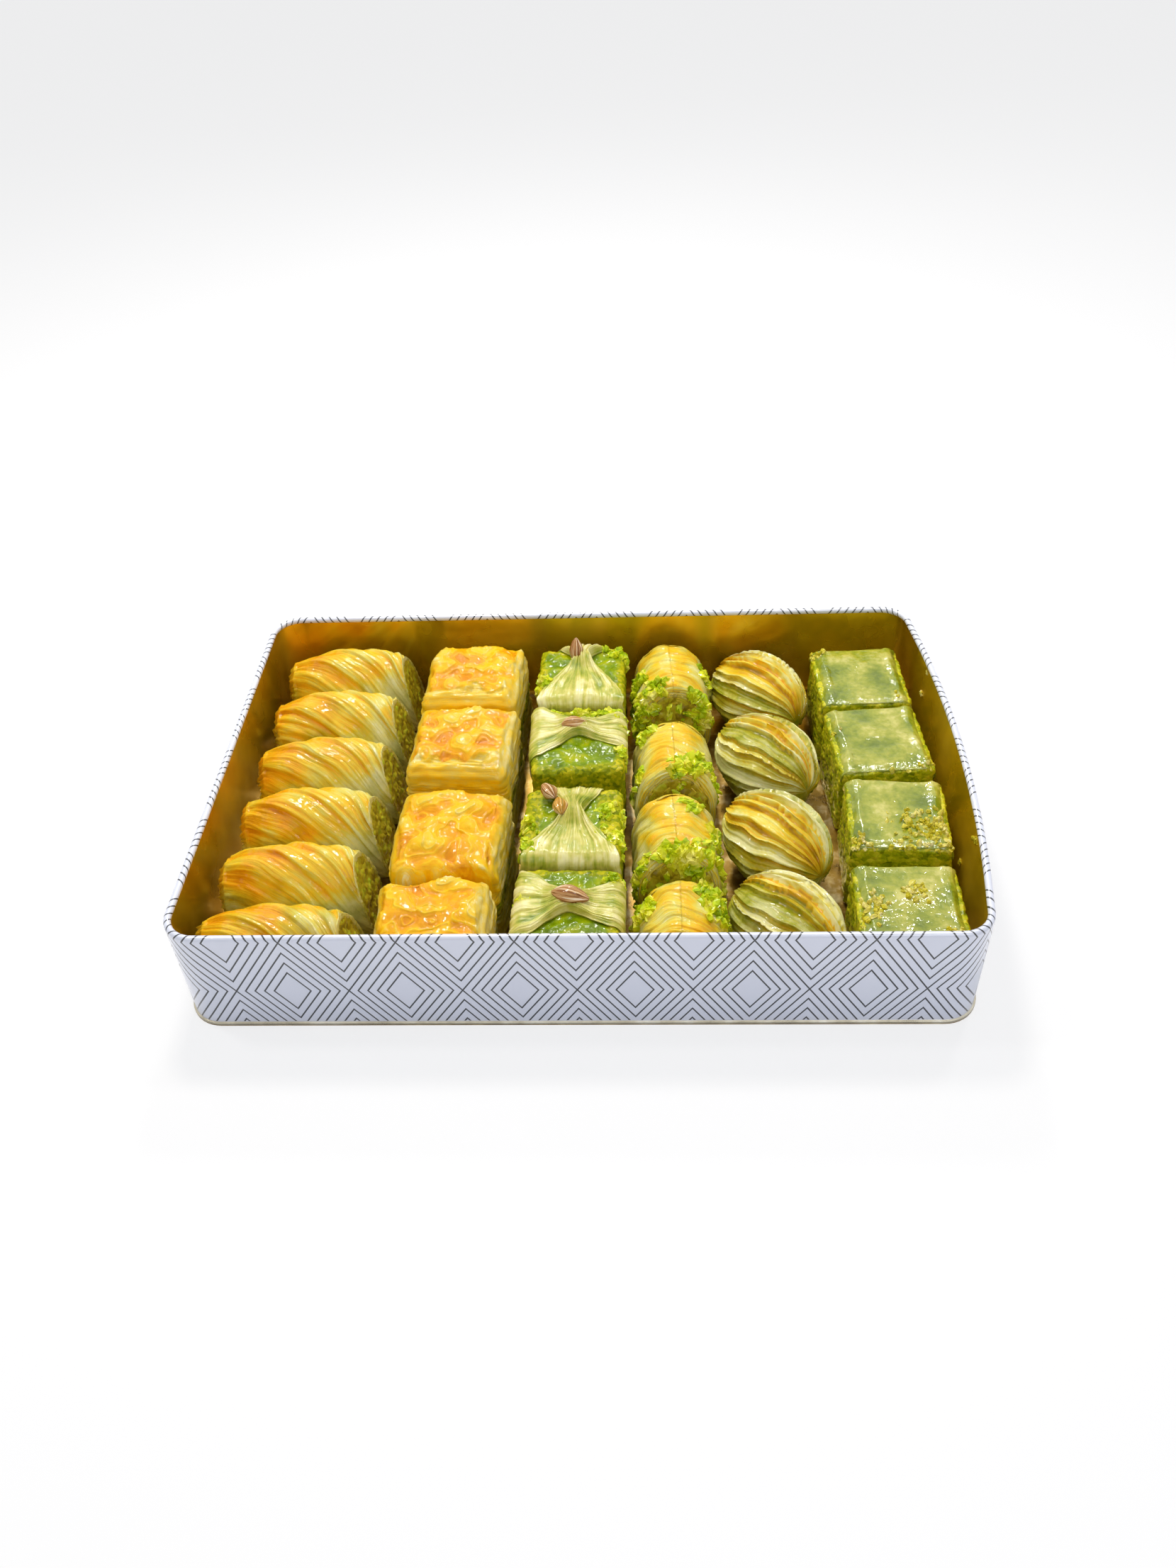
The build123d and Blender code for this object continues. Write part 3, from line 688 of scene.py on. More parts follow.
def twisted_roll(number):
    """The dough of one roll, with its laps, creases, frayed end and cut end."""
    low, high = (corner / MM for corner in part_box(f"roll_{number}_pastry"))
    length = high.x - low.x
    end_rings = 26
    along = (np.linspace(0.2, 4, 9)[:-1], np.linspace(4, length - 0.6, 126), [length - 0.2])
    x = np.concatenate(along + (np.full(end_rings, length),))
    body_rings = np.ones(len(x) - end_rings - 1)
    shrink = np.concatenate([body_rings, [0.995], np.linspace(0.98, 0.6, end_rings)])
    rounding = np.clip(1 - x / 4.5, 0, 1)
    shrink *= np.sqrt(np.clip(1.0004 - rounding**2, 0, 1)) * 0.9 + 0.1 * (1 - rounding)
    angle = (np.linspace(0, 2 * pi, 196, endpoint=False) - pi)[None, :]
    tail = (np.clip(1 - x / tail_reach, 0, 1) ** 2)[:, None]
    cut = (np.clip((x - tail_reach) / cut_reach, 0, 1) ** 2)[:, None]
    halves = roll_half - tail_inset * tail - cut_inset * cut
    tops = roll_height - tail_drop * tail - cut_drop * cut
    shoulders = roll_shoulder * tops / roll_height
    below = shoulders / np.sqrt(1 - (1 - roll_foot_inset / halves) ** 2)
    rise = np.where(np.cos(angle) > 0, tops - shoulders, below) * np.cos(angle)
    aside = -halves * np.sin(angle) * shrink[:, None]
    rings = columns_of(x[:, None], aside, shoulders + rise * shrink[:, None])
    seed = 10 * number
    travel = (0.15 * x + 0.009 * x**2)[:, None] / lap_pitch
    turns = angle / (2 * pi) * lap_count - travel - 0.35 * (number - 1)
    turns = turns + 0.1 * noise(rings, 24, seed)
    share = turns - np.floor(turns)
    sunk = np.interp(share, (0, 0.3, 0.6, 0.87, 1), (1, 0.6, 0.2, 0, 1))
    across = lap_pitch * turns + 1.6 * noise(rings, 15, seed + 1)
    lane = columns_of(across, x[:, None] + 0 * across, np.full_like(across, 7.0 * number))
    creases = np.abs(noise(lane, (5.5, 46, 1), seed + 2)) ** 0.7
    creases2 = np.abs(noise(lane, (2.4, 26, 1), seed + 3)) ** 0.7
    fine = noise(lane, (1.0, 13, 1), seed + 4)
    swell = noise(rings, 14, seed + 5)
    z = rings[..., 2]
    fade = smooth_step(z, 0.3, 4.0)
    outside = (shrink > 0.99)[:, None] * smooth_step(x, 0.5, 5.0)[:, None]
    amount = fade * outside * (-lap_height * sunk + 1.0 * creases + 0.8 * creases2 + 0.1 * fine - 0.7)
    amount = amount + fade * (shrink > 0.9)[:, None] * 0.45 * swell
    frayed = (1 - smooth_step(x, 1.0, 8.0))[:, None]
    tatters = columns_of(across, x[:, None] / 3, 0 * across)
    amount = amount + frayed * fade * 0.9 * noise(tatters, (1.7, 6, 1), seed + 6)
    high_share = smooth_step(z / tops, 0.35, 0.98)
    patch = noise(rings, 12, seed + 7)
    bake = 0.2 + 0.44 * high_share + 0.32 * patch - 0.34 * smooth_step(x, 18, 58)[:, None]
    # Painted shade and highlight: darker in the laps' deep valleys and between the raised creases, paler on
    # the laps' raised edges
    lap_shade_and_highlight = 0.16 * smooth_step(sunk, 0.75, 1.0) - 0.12 * (sunk < 0.1)
    bake = bake + outside * (0.3 * (0.45 - creases) + lap_shade_and_highlight)
    on_end = (x >= length - 0.1)[:, None]
    leaf = np.sin(shrink[:, None] * 165 + 1.5 * noise(rings, 5, seed + 9))
    bake = np.where(on_end, 0.16 + 0.1 * leaf + 0.25 * (shrink[:, None] < 0.8), bake)
    green = np.clip(0.7 * noise(rings, 11, seed + 8) + 0.6 - 0.8 * high_share, 0, 1)
    made = surface(rings, bake=bake, green=green, across=across, along=x[:, None])
    points = push(made, amount.ravel())["points"].reshape(rings.shape)
    torn = noise(columns_of(across, 0 * across, z), (2.2, 1, 2.2), seed + 9)
    points[..., 0] += np.where(x[:, None] > length - 1.2, 0.5 * torn, 0)
    points[..., 0] += np.where(x[:, None] < 3.0, -2.2 * np.abs(torn), 0)
    points[..., 0] += on_end * (0.35 * leaf - 1.6 * smooth_step(0.92 - shrink[:, None], 0, 0.14))
    made["points"] = points.reshape(-1, 3)
    slant_cut(made, length)
    return place(keep_above(made), low.x, (low.y + high.y) / 2, low.z)


def cut_filling(half, top, lift, seed, grain):
    """A rough plug of chopped nuts that faces along +X, with its rough end at x = 0."""
    depth = np.concatenate([[-6.0, -3.0, -1.2], np.zeros(30)])
    shrink = np.concatenate([[1.0, 1.0, 0.99], np.linspace(0.96, 0.02, 30)])
    angle = np.linspace(0, 2 * pi, 96, endpoint=False)
    y, z = dome_ring(angle[None, :], half, top - lift, (top - lift) * 0.42)
    middle = (top - lift) * 0.45
    rings = columns_of(
        depth[:, None] + 0 * y, -y * shrink[:, None], lift + middle + (z - middle) * shrink[:, None]
    )
    near_grain, tint = grains(rings, grain, seed)
    made = surface(rings)
    lump = 1.5 * (0.6 - near_grain) + 1.0 * noise(rings, 5, seed + 1) + 0.5 * tint + 0.6
    return push(made, np.where(depth[:, None] < -1, 0, lump).ravel())


roll_count = 6
for number in range(1, roll_count + 1):
    body = f"roll_{number}"
    dough = twisted_roll(number)
    piece(f"twisted_roll_{number}", [dough], twisted_dough, body, f"{body}_pastry")
    low, high = (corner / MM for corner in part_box(f"{body}_pastry"))
    plug_half, plug_top = roll_half - cut_inset - 1.6, roll_height - cut_drop - 1.8
    plug = cut_filling(plug_half, plug_top, 1.6, 60 + number, 2.4)
    plug = place(plug, high.x - 0.9, (low.y + high.y) / 2, low.z)
    slant_cut(plug, high.x)
    piece(f"roll_filling_{number}", [plug], roll_filling, body, f"{body}_filling")
print("rolls", roll_count)

# %% [markdown]
# ## Blocks
#
# The layered squares, the green bundles and the green squares are blocks. A block's rings go up
# its sides, round its top edge and in over its top to the middle, so that one set of rules can
# shape its sides as well as its top.

# %% Where each sweet stands, from back to front: x, y, turn and depth
stands = {
    "layered": (
        (-52.75, 68, -3, 46), (-53.25, 19.35, -4, 47.3), (-52.75, -37.3, -3, 49), (-54.75, -81.8, 2, 35)
    ),
    "bundle": (
        (-2.55, 70.5, 0, 43), (-2.55, 22.5, 1, 45), (-3.05, -30.25, -1, 44.5), (-3.05, -76.5, -1.5, 43)
    ),
    "crumbed": (
        (39.75, 73.5, 3, 43), (39.75, 15, 2, 42), (39.25, -33.5, 3, 43), (40.25, -80.25, 0, 36.5)
    ),
    "shell": (
        (81.8, 74.65, -52, 49.8), (81.8, 27, -52, 50.5), (82.1, -24.5, -52, 50.5), (82.1, -72.55, -52, 49.8)
    ),
    "square": (
        (126.75, 67.5, 2, 41), (128.85, 22, 4, 42), (129.65, -25.5, -3, 40), (126.75, -76, -1, 41)
    ),
}
floor_z = 0.5


def stand(made, kind, number):
    """Puts a sweet's surface on its own place in the tin."""
    x, y, turn, _ = stands[kind][number - 1]
    return place(made, x, y, floor_z, turn)


print({kind: len(rows) for kind, rows in stands.items()})


# %% Rings of a block
def rounded_outline(half_x, half_y, corner, count):
    """Evenly spaced points round a rectangle with round corners."""
    quarter = np.linspace(0, pi / 2, 10)
    path = []
    for turn, (sx, sy) in enumerate(((1, 1), (-1, 1), (-1, -1), (1, -1))):
        x = sx * (half_x - corner) + corner * np.cos(quarter + turn * pi / 2)
        y = sy * (half_y - corner) + corner * np.sin(quarter + turn * pi / 2)
        path.append(columns_of(x, y))
    path = np.concatenate(path + [path[0][:1]])
    run = np.concatenate([[0], np.cumsum(np.hypot(*np.diff(path, axis=0).T))])
    spots = np.linspace(0, run[-1], count, endpoint=False)
    return columns_of(np.interp(spots, run, path[:, 0]), np.interp(spots, run, path[:, 1]))


def block_rings(size, corner, edge, count=200, sides=40, tops=46):
    """Rings of an upright block: up its sides, round its top edge and in to its middle."""
    half_x, half_y, top = size[0] / 2, size[1] / 2, size[2]
    edge_in, edge_up = edge
    line = rounded_outline(half_x, half_y, corner, count)
    bend = np.linspace(0, pi / 2, 9)[1:]
    up = np.linspace(0.3, top - edge_up, sides)
    z = np.concatenate([[0, 0], up, top - edge_up * (1 - np.sin(bend)), np.full(tops, top)])
    rounding = edge_in * (1 - np.cos(bend))
    inset = np.concatenate([[4, 0.4], np.zeros(sides), rounding, np.full(tops, edge_in)])
    scale = np.concatenate([np.ones(sides + 10), np.linspace(1, 0.012, tops + 1)[1:]])
    x = line[:, 0] * ((half_x - inset) / half_x * scale)[:, None]
    y = line[:, 1] * ((half_y - inset) / half_y * scale)[:, None]
    return columns_of(x, y, z[:, None])


print("points of a block", block_rings((40, 40, 30), 4.0, (1, 1)).shape[:2])

# %% [markdown]
# ## Layered squares
#
# Many buttered leaves are stacked, cut and baked, so the sides are cut edges of pale leaves and
# the top leaf blisters and browns. The sides get a saw wave over their height, one tooth for a few
# leaves. The top gets blisters, which are grains seen from above with soft edges, and its fine
# curls follow the level lines of a smooth noise field.


# %% Leaves of the layered squares
def leaf_stack(size, z_low, seed, pack, baked_front, crown):
    """A stack of leaves: packs of cut edges on its sides and, on the upper one, a blistered crown."""
    edge = (5.0, 8.0) if crown else (0.4, 0.4)
    rings = block_rings(size, 4.0, edge, 216, 56 if crown else 40, 60 if crown else 4)
    spot = rings + (0, 0, z_low)
    x, y, z = (spot[..., axis] for axis in range(3))
    flat = columns_of(x, y, 0 * z)
    over = smooth_step(rings[..., 2], size[2] - 6.0, size[2] - 1.0) if crown else 0 * z
    front = smooth_step(-y / (size[1] / 2), 0.6, 0.95)
    drop_z = z + 1.5 * noise(spot, 6, seed + 9)
    drop = front * smooth_step(drop_z, 39 - 16 * baked_front, 42 - 14 * baked_front) * crown
    to_front = y + size[1] / 2
    to_right = size[0] / 2 - x
    bare_front = 1 - smooth_step(to_front + 5 * noise(flat, 7, seed + 10), 7, 10.5)
    bare_front = bare_front * (baked_front < 0.5)
    reach = 4.5 - 3.5 * (baked_front > 0.9)
    bare_side = 1 - smooth_step(to_right + 2.5 * noise(flat, 6, seed + 11), reach - 2, reach + 1.5)
    bare = np.maximum(bare_front, bare_side) * crown
    level = rings[..., 2] + 0.9 * over * np.minimum(np.minimum(to_front, to_right), 14)
    strata = columns_of(x, y, level)
    layer = (level + 0.8 * noise(spot, (17, 17, 9), seed)) / pack
    part = layer - np.floor(layer)
    drawn_in = (np.floor(layer) % 2 == 1) * smooth_step(part, 0, 0.12) * (1 - smooth_step(part, 0.88, 1))
    leaf = noise(strata, (6, 6, 0.55), seed + 1)
    cut = -0.7 * drawn_in + 0.55 * leaf + 0.5 * noise(spot, (8, 8, 4), seed + 2) - 0.1
    raised = 0 * z
    pitch_y = min(size[1] / 2 - 14.0, 10)
    for count in range(9):
        bx = (count % 3 - 1) * 10 + 1.4 * sin(2.4 * count)
        by = (count // 3 - 1) * pitch_y + 1.4 * sin(4.1 * count + 1)
        raised = np.maximum(raised, 1.3 * (1 - ((x - bx) ** 2 + (y - by) ** 2) / 36))
    bubble = np.sqrt(np.clip(1 - (grains(flat, (8, 8.5, 1), seed + 3, 2)[0] / 0.6) ** 2, 0, 1))
    field = noise(flat, (12, 10, 1), seed + 4) + 0.3 * noise(flat, (5.5, 6, 1), seed + 5)
    curl = np.abs(field * 2.4 - np.round(field * 2.4)) * 2
    groove = (1 - curl) ** 5
    top = raised + 0.6 * bubble + 2.0 * field + 0.7 * groove - 0.9
    top = top - 1.8 * smooth_step(np.hypot(x / 22, y / (size[1] / 2)), 0.75, 1.3)
    puffed = np.maximum(over, drop) * (1 - bare)
    amount = (1 - puffed) * cut + puffed * top + 1.1 * noise(spot, (15, 15, 13), seed + 8) - 0.2
    # Painted highlight on the crown's swells, blisters and raised curls, which are paler. Its hollows are
    # deeper orange, partly for syrup pooled there and partly as painted shade
    bake = puffed * (0.7 - 0.5 * field - 0.06 * bubble - 0.3 * groove)
    bake = bake + (1 - puffed) * (0.21 + 0.16 * leaf)
    bake = bake + (1 - puffed) * front * (0.2 + 0.12 * noise(spot, (9, 9, 3), seed + 7)) * (z > 19)
    bake = bake - 0.1 * smooth_step(x, 12, 22) * puffed
    green = (1 - puffed) * smooth_step(x, 0, 22) * (z < 22) * 0.6
    across = (1 - puffed) * (level * 1.6 + 0.6 * leaf) + puffed * field * 9
    made = surface(rings, bake=bake, green=green, across=across, along=x + y)
    made = keep_above(push(made, (amount * smooth_step(z, 0.0, 0.8)).ravel()))
    points = made["points"]
    if crown:
        near_front = np.clip(1 - (points[:, 1] + size[1] / 2) / 15, 0, 1) ** 1.6
        near_side = np.clip((np.abs(points[:, 0]) - 12) / 11, 0, 1) ** 2
        points[:, 2] *= 1 - 0.12 * near_front - 0.06 * near_side
    points[:, 2] += z_low
    return made


layered_fronts = (0.3, 0.15, 1.0, 0.6)
layered_width = 45.5
for number, baked_front in enumerate(layered_fronts, 1):
    body = f"layered_{number}"
    depth = stands["layered"][number - 1][3]
    lower = leaf_stack((layered_width, depth, 14.3), 0.0, 100 + 9 * number, 3.5, 0.0, False)
    upper = leaf_stack((layered_width, depth, 22.7), 20.0, 140 + 9 * number, 3.2, baked_front, True)
    leaves = [stand(made, "layered", number) for made in (lower, upper)]
    piece(f"layered_square_{number}", leaves, layered_dough, body, f"{body}_leaves")
    rings = block_rings((layered_width - 1.0, depth - 1.0, 6.0), 4.0, (0.4, 0.4), 160, 14, 4)
    lumps = 0.9 * (0.5 - grains(rings, 1.9, 180 + number)[0]) + 0.5 * noise(rings, 5, 190 + number)
    nuts = push(surface(rings), lumps.ravel())
    nuts["points"][:, 2] += 14.2
    nuts = stand(nuts, "layered", number)
    piece(f"layered_nuts_{number}", [nuts], pistachio_paste, body, f"{body}_filling")
print("layered squares", len(layered_fronts))

# %% [markdown]
# ## Chopped crumbs
#
# Hundreds of bits of raw pistachio stick to the syrup. Geometry Nodes strew them: points fall on a
# sweet's own surface, thickest where the mark crumbs is high, and each point gets one small rough
# lump with its own turn and size. The tree is built once and serves the bundles, the crumbed rolls,
# the green squares and the tin's wall.

# %% Tree that strews crumbs
crumb_tree = bpy.data.node_groups.new("strewn_crumbs", "GeometryNodeTree")
crumb_tree.interface.new_socket("Geometry", in_out="OUTPUT", socket_type="NodeSocketGeometry")
crumb_inputs = {}
for label, kind in (
    ("Geometry", "Geometry"),
    ("Crumb width", "Float"),
    ("Crumbs per square metre", "Float"),
    ("Seed", "Int"),
    ("Finish", "Material"),
):
    made = crumb_tree.interface.new_socket(label, in_out="INPUT", socket_type="NodeSocket" + kind)
    crumb_inputs[label] = made.identifier
given = add(crumb_tree, "NodeGroupInput").outputs
seed = given["Seed"]
thick = add(crumb_tree, "GeometryNodeInputNamedAttribute", {"Name": "crumbs"}, data_type="FLOAT")
per_area = given["Crumbs per square metre"]
density = add(crumb_tree, "Math", {0: thick, 1: per_area}, operation="MULTIPLY")
spread = {"Mesh": given["Geometry"], "Density": density, "Seed": seed}
fallen = add(crumb_tree, "GeometryNodeDistributePointsOnFaces", spread)
lump = add(crumb_tree, "GeometryNodeMeshIcoSphere", {"Radius": 0.5, "Subdivisions": 2})
dents = add(crumb_tree, "TexNoise", {"Scale": 2.4, "Detail": 1.0}).outputs["Color"]
dents = add(crumb_tree, "VectorMath", {0: dents, 1: (0.5, 0.5, 0.5)}, operation="SUBTRACT")
lump = add(crumb_tree, "GeometryNodeSetPosition", {"Geometry": lump, "Offset": dents})
turns = {1: (6.3, 6.3, 6.3), "Seed": seed}
turned = add(crumb_tree, "FunctionNodeRandomValue", turns, data_type="FLOAT_VECTOR")
spans = {0: (0.45, 0.4, 0.4), 1: (1.6, 1.2, 1.1), "Seed": seed}
sized = add(crumb_tree, "FunctionNodeRandomValue", spans, data_type="FLOAT_VECTOR")
sized = add(crumb_tree, "VectorMath", {0: sized, "Scale": given["Crumb width"]}, operation="SCALE")
seats = {"Points": fallen, "Instance": lump, "Rotation": turned, "Scale": sized}
strewn = add(crumb_tree, "GeometryNodeInstanceOnPoints", seats)
real = add(crumb_tree, "GeometryNodeRealizeInstances", {"Geometry": strewn})
finished = add(crumb_tree, "GeometryNodeSetMaterial", {"Geometry": real, "Material": given["Finish"]})
add(crumb_tree, "NodeGroupOutput", {0: finished})
# Raw nuts chopped coarsely: the freshest green of all, with yellow cut faces
fresh_shades = ((0.1, "#8AA806"), (0.4, "#BCD00C"), (0.62, "#DEDE22"), (0.9, "#F8F27A"))
fresh_crumbs = ground_nuts("chopped_raw_pistachio", fresh_shades, 3.8, 0.5)
# Crumbs whose syrup has dried: pale, dusty and hardly glossy
dry_shades = ((0.1, "#B0A010"), (0.4, "#CCC02A"), (0.62, "#E0D464"), (0.9, "#F2EAB4"))
dry_crumbs = ground_nuts("dried_syrup_crumbs", dry_shades, 2.6, 0.2)
print("crumb tree nodes", len(crumb_tree.nodes))


# %% Strew crumbs over a sweet
def scatter(name, source, body, width_mm, per_cm2, seed, finish=fresh_crumbs):
    """Strews crumbs over a piece where its mark crumbs is high, as one plain mesh."""
    made = bpy.data.objects.new(name, source.data.copy())
    scene.collection.objects.link(made)
    strew = made.modifiers.new("crumbs", "NODES")
    strew.node_group = crumb_tree
    strew[crumb_inputs["Crumb width"]] = width_mm * MM
    strew[crumb_inputs["Crumbs per square metre"]] = per_cm2 * 1e4
    strew[crumb_inputs["Seed"]] = seed
    strew[crumb_inputs["Finish"]] = finish
    strewn_object = made.evaluated_get(bpy.context.evaluated_depsgraph_get())
    mesh = bpy.data.meshes.new_from_object(strewn_object)
    made.modifiers.clear()
    made.data = mesh
    mesh.materials.clear()
    mesh.materials.append(finish)
    mesh.polygons.foreach_set("material_index", [0] * len(mesh.polygons))
    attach(made, body)
    print(name, len(mesh.polygons) // 80, "crumbs")


print("crumb materials ready")

# %% [markdown]
# ## Green bundles
#
# A block of green pistachio paste is tied up in one pale sheet of dough, which is gathered to a
# waist in the middle and fans out over two sides. The paste shows beside it: glossy where it was
# pressed smooth, and coarse where it was cut. The mark crumb tells the material which is which.


# %% Material of pressed paste
# Pressed paste: dark glossy green where the mark crumb is 0, and a paler matt crumb where it is 1
pressed_paste, tree, shader = new_material(
    "pressed_pistachio_paste", Specular_IOR_Level=0.05, Coat_Roughness=0.05, Coat_IOR=1.4,
    Subsurface_Weight=0.1, Subsurface_Radius=(0.003, 0.003, 0.0004), Subsurface_Scale=0.5,
)
where = add(tree, "TexCoord").outputs["Object"]
crumb = add(tree, "Attribute", attribute_name="crumb").outputs["Fac"]
cells = add(tree, "TexVoronoi", {"Vector": where, "Scale": 1000 / 1.5})
cloud = add(tree, "TexNoise", {"Vector": where, "Scale": 1000 / 7, "Detail": 5.0})
own = add(tree, "SeparateColor", {0: cells.outputs["Color"]})
mixed = add(tree, "Math", {0: own, 1: 0.5, 2: cloud}, operation="MULTIPLY_ADD")
tone = add(tree, "Math", {0: mixed, 1: 0.25}, operation="SUBTRACT")
coarse_shades = ((0.1, "#5E6E04"), (0.42, "#8E9606"), (0.66, "#B4AE0E"), (0.95, "#DCCC2E"))
coarse = add(tree, "ValToRGB", {"Fac": tone}, stops=coarse_shades)
smooth_shades = ((0.28, "#546C00"), (0.5, "#7C9400"), (0.72, "#B4B602"))
smooth = add(tree, "ValToRGB", {"Fac": cloud}, stops=smooth_shades)
blend = add(tree, "Mix", {0: crumb, 6: smooth, 7: coarse}, data_type="RGBA")
wet = add(tree, "MapRange", {"Value": crumb, "To Min": 0.35, "To Max": 0.12})
rough = add(tree, "MapRange", {"Value": crumb, "To Min": 0.28, "To Max": 0.6})
ripple = add(tree, "TexNoise", {"Vector": where, "Scale": 1000 / 2.6, "Detail": 3.0})
bump = add(tree, "Bump", {"Height": ripple, "Strength": 0.7, "Distance": 0.0007})
pool = add(tree, "TexNoise", {"Vector": where, "Scale": 1000 / 5, "Detail": 1.0})
pooled = add(tree, "Bump", {"Height": pool, "Strength": 1.0, "Distance": 0.0007})
wire(shader, Base_Color=blend.outputs[2], Coat_Weight=wet, Roughness=rough, Normal=bump)
wire(shader, Coat_Normal=pooled)
print("paste shades", len(coarse_shades) + len(smooth_shades))


# %% Material of the pale sheet
# Filo soaked in syrup: a pale yellow green with light strands and a wet gloss
pale_sheet, tree, shader = new_material(
    "syrup_soaked_raw_filo", Roughness=0.34, Specular_IOR_Level=0.1, Coat_Weight=0.8,
    Coat_Roughness=0.07, Coat_IOR=1.42, Subsurface_Weight=0.2,
    Subsurface_Radius=(0.002, 0.003, 0.001), Subsurface_Scale=0.6,
)
where = add(tree, "TexCoord").outputs["Object"]
fold = add(tree, "Attribute", attribute_name="fold").outputs["Fac"]
lines = strands(tree, 1 / 0.8, 0.06)
cloud = add(tree, "TexNoise", {"Vector": where, "Scale": 1000 / 8, "Detail": 3.0})
deep = add(tree, "Math", {0: fold, 1: 0.6}, operation="MULTIPLY")
tone = add(tree, "Math", {0: lines, 1: 0.7, 2: deep}, operation="MULTIPLY_ADD")
tone = add(tree, "Math", {0: cloud, 1: 1.8, 2: tone}, operation="MULTIPLY_ADD")
tone = add(tree, "Math", {0: tone, 1: 1.0}, operation="SUBTRACT")
sheet_shades = ((0.05, "#748A14"), (0.32, "#A8AE34"), (0.6, "#D0C860"), (0.95, "#F0E8A6"))
colour = add(tree, "ValToRGB", {"Fac": tone}, stops=sheet_shades)
bump = add(tree, "Bump", {"Height": lines, "Strength": 0.8, "Distance": 0.0005})
wire(shader, Base_Color=colour, Normal=bump, Coat_Normal=bump)
print("sheet shades", len(sheet_shades))


# %% Material of the shelled kernels
# Dry skin on a green nut: brown and cream streaks along it, and green to amber meat where it is open
kernel_skin, tree, shader = new_material(
    "shelled_pistachio_skin", Roughness=0.4, Specular_IOR_Level=0.1, Coat_Weight=0.5, Coat_Roughness=0.06
)
inside = add(tree, "Attribute", attribute_name="inside").outputs["Fac"]
lines = strands(tree, 0.9, 0.05)
skin_shades = ((0.36, "#5A2E0A"), (0.45, "#935A1E"), (0.53, "#C99A5E"), (0.61, "#F2E0BE"))
colour = add(tree, "ValToRGB", {"Fac": lines}, stops=skin_shades)
meat_shades = ((0.35, "#6F8414"), (0.5, "#C98A14"), (0.65, "#E8C24A"))
meat = add(tree, "ValToRGB", {"Fac": lines}, stops=meat_shades)
blend = add(tree, "Mix", {0: inside, 6: colour, 7: meat}, data_type="RGBA")
bump = add(tree, "Bump", {"Height": lines, "Strength": 0.8, "Distance": 0.0004})
wire(shader, Base_Color=blend.outputs[2], Normal=bump)
print("bundle materials ready")

# %% Size and layout of the bundles
bundle_width = 42.5
bundle_top = 37.5
sheet_thickness = 1.2
bundle_edge = 4.0
# The way each sheet fans out, how far its waist is from the middle, and how far back it lies
bundle_sheets = ((-90, -12, 0), (180, 0, 6.5), (-90, -6, 0), (180, 0, 1))
# Each kernel: x, y, turn, tilt, length, and how much of it shows its green and yellow inside
bundle_kernels = (
    ((-2.6, 11.5, 90, 60, 12.0, 0.0),),
    ((-1.5, 6.5, 4, 0, 12.0, 0.15),),
    ((-10.5, 14.5, 125, 0, 10.5, 0.1), (-5.2, 5.5, 100, 0, 10.5, 0.85)),
    ((1.0, 1.5, -14, 0, 15.5, 0.0),),
)
print("kernels", sum(len(spots_of) for spots_of in bundle_kernels))


# %% Where crumbs lie on the bundles and the green squares: x, y and how far they reach
bundle_heaps = (
    ((17, 17, 9), (-17, -6, 6), (15, 20, 8)),
    ((-14, 18, 9), (2, 19, 9), (14, 18, 9), (19, -8, 6), (19, 8, 5)),
    ((15, 4, 10), (17, -10, 9), (-17, 0, 8), (-16, -14, 7)),
    ((-19, 4, 6), (18, 14, 6)),
)
square_heaps = (
    ((-17, 18, 5), (14, -16, 4)),
    ((15, -18, 5), (-18, 6, 4)),
    ((11, -9, 20), (-17, -18, 8), (16, -18, 8)),
    ((2, 6, 8), (-15, -2, 11), (14, -14, 6)),
)


def heaped(x, y, heaps):
    """How thickly crumbs lie at a place, from 0 to 1."""
    total = 0 * x
    for hx, hy, reach in heaps:
        total = np.maximum(total, np.exp(-((x - hx) ** 2 + (y - hy) ** 2) * 4 / reach**2))
    return np.where(total > 0.05, total, 0)


print("crumb heaps", sum(len(heaps) for heaps in bundle_heaps + square_heaps))


# %% Paste block of a bundle
def paste_block(number):
    """The block of paste: glossy on top in wide panels, coarse at its cut sides."""
    depth = stands["bundle"][number - 1][3]
    less = 2 * sheet_thickness
    size = (bundle_width - less, depth - less, bundle_top - sheet_thickness)
    rings = block_rings(size, 3.0, (2.6, 2.6), 192, 40, 48)
    seed = 200 + 11 * number
    x, y, z = rings[..., 0], rings[..., 1], rings[..., 2]
    over = smooth_step(z, size[2] - 3.5, size[2] - 0.6)
    ragged = noise(rings, 7, seed)
    rim = np.maximum(np.abs(x) / (size[0] / 2), np.abs(y) / (size[1] / 2))
    crumb = 1 - over * (1 - smooth_step(rim + 0.12 * ragged, 0.78, 0.9))
    # The second block is coarse along its back, and the third along its sides
    strips = {
        2: [smooth_step(y + 1.5 * ragged, 13, 15)],
        3: [smooth_step(x + 2 * ragged, 9, 12), smooth_step(-x + 2 * ragged, 12, 15)],
    }
    crumb = np.clip(np.maximum.reduce([crumb, *strips.get(number, [0 * x])]), 0, 1)
    near_grain, tint = grains(rings, 2.1, seed + 1)
    rough = 0.9 * (0.55 - near_grain) + 0.5 * ragged + 0.35 * (tint - 0.5)
    smooth = 0.7 * noise(rings, 6, seed + 2) + 0.25 * noise(rings, 2.4, seed + 3)
    crumbs = heaped(x, y, bundle_heaps[number - 1]) * smooth_step(z, 24, 32)
    made = surface(rings, crumb=crumb, crumbs=crumbs)
    amount = (crumb * rough + (1 - crumb) * smooth) * smooth_step(z, 0, 1)
    return keep_above(push(made, amount.ravel()))


print("paste blocks", len(stands["bundle"]))


# %% Sheet of a bundle
def over_the_block(run, half, top, edge):
    """Distance out and height after a run from the middle, over the top edge and down."""
    flat = half - edge
    bend = np.clip((run - flat) / edge, 0, pi / 2)
    out = np.minimum(run, flat) + edge * np.sin(bend)
    down = np.maximum(run - flat - edge * pi / 2, 0)
    return out, top - edge * (1 - np.cos(bend)) - down


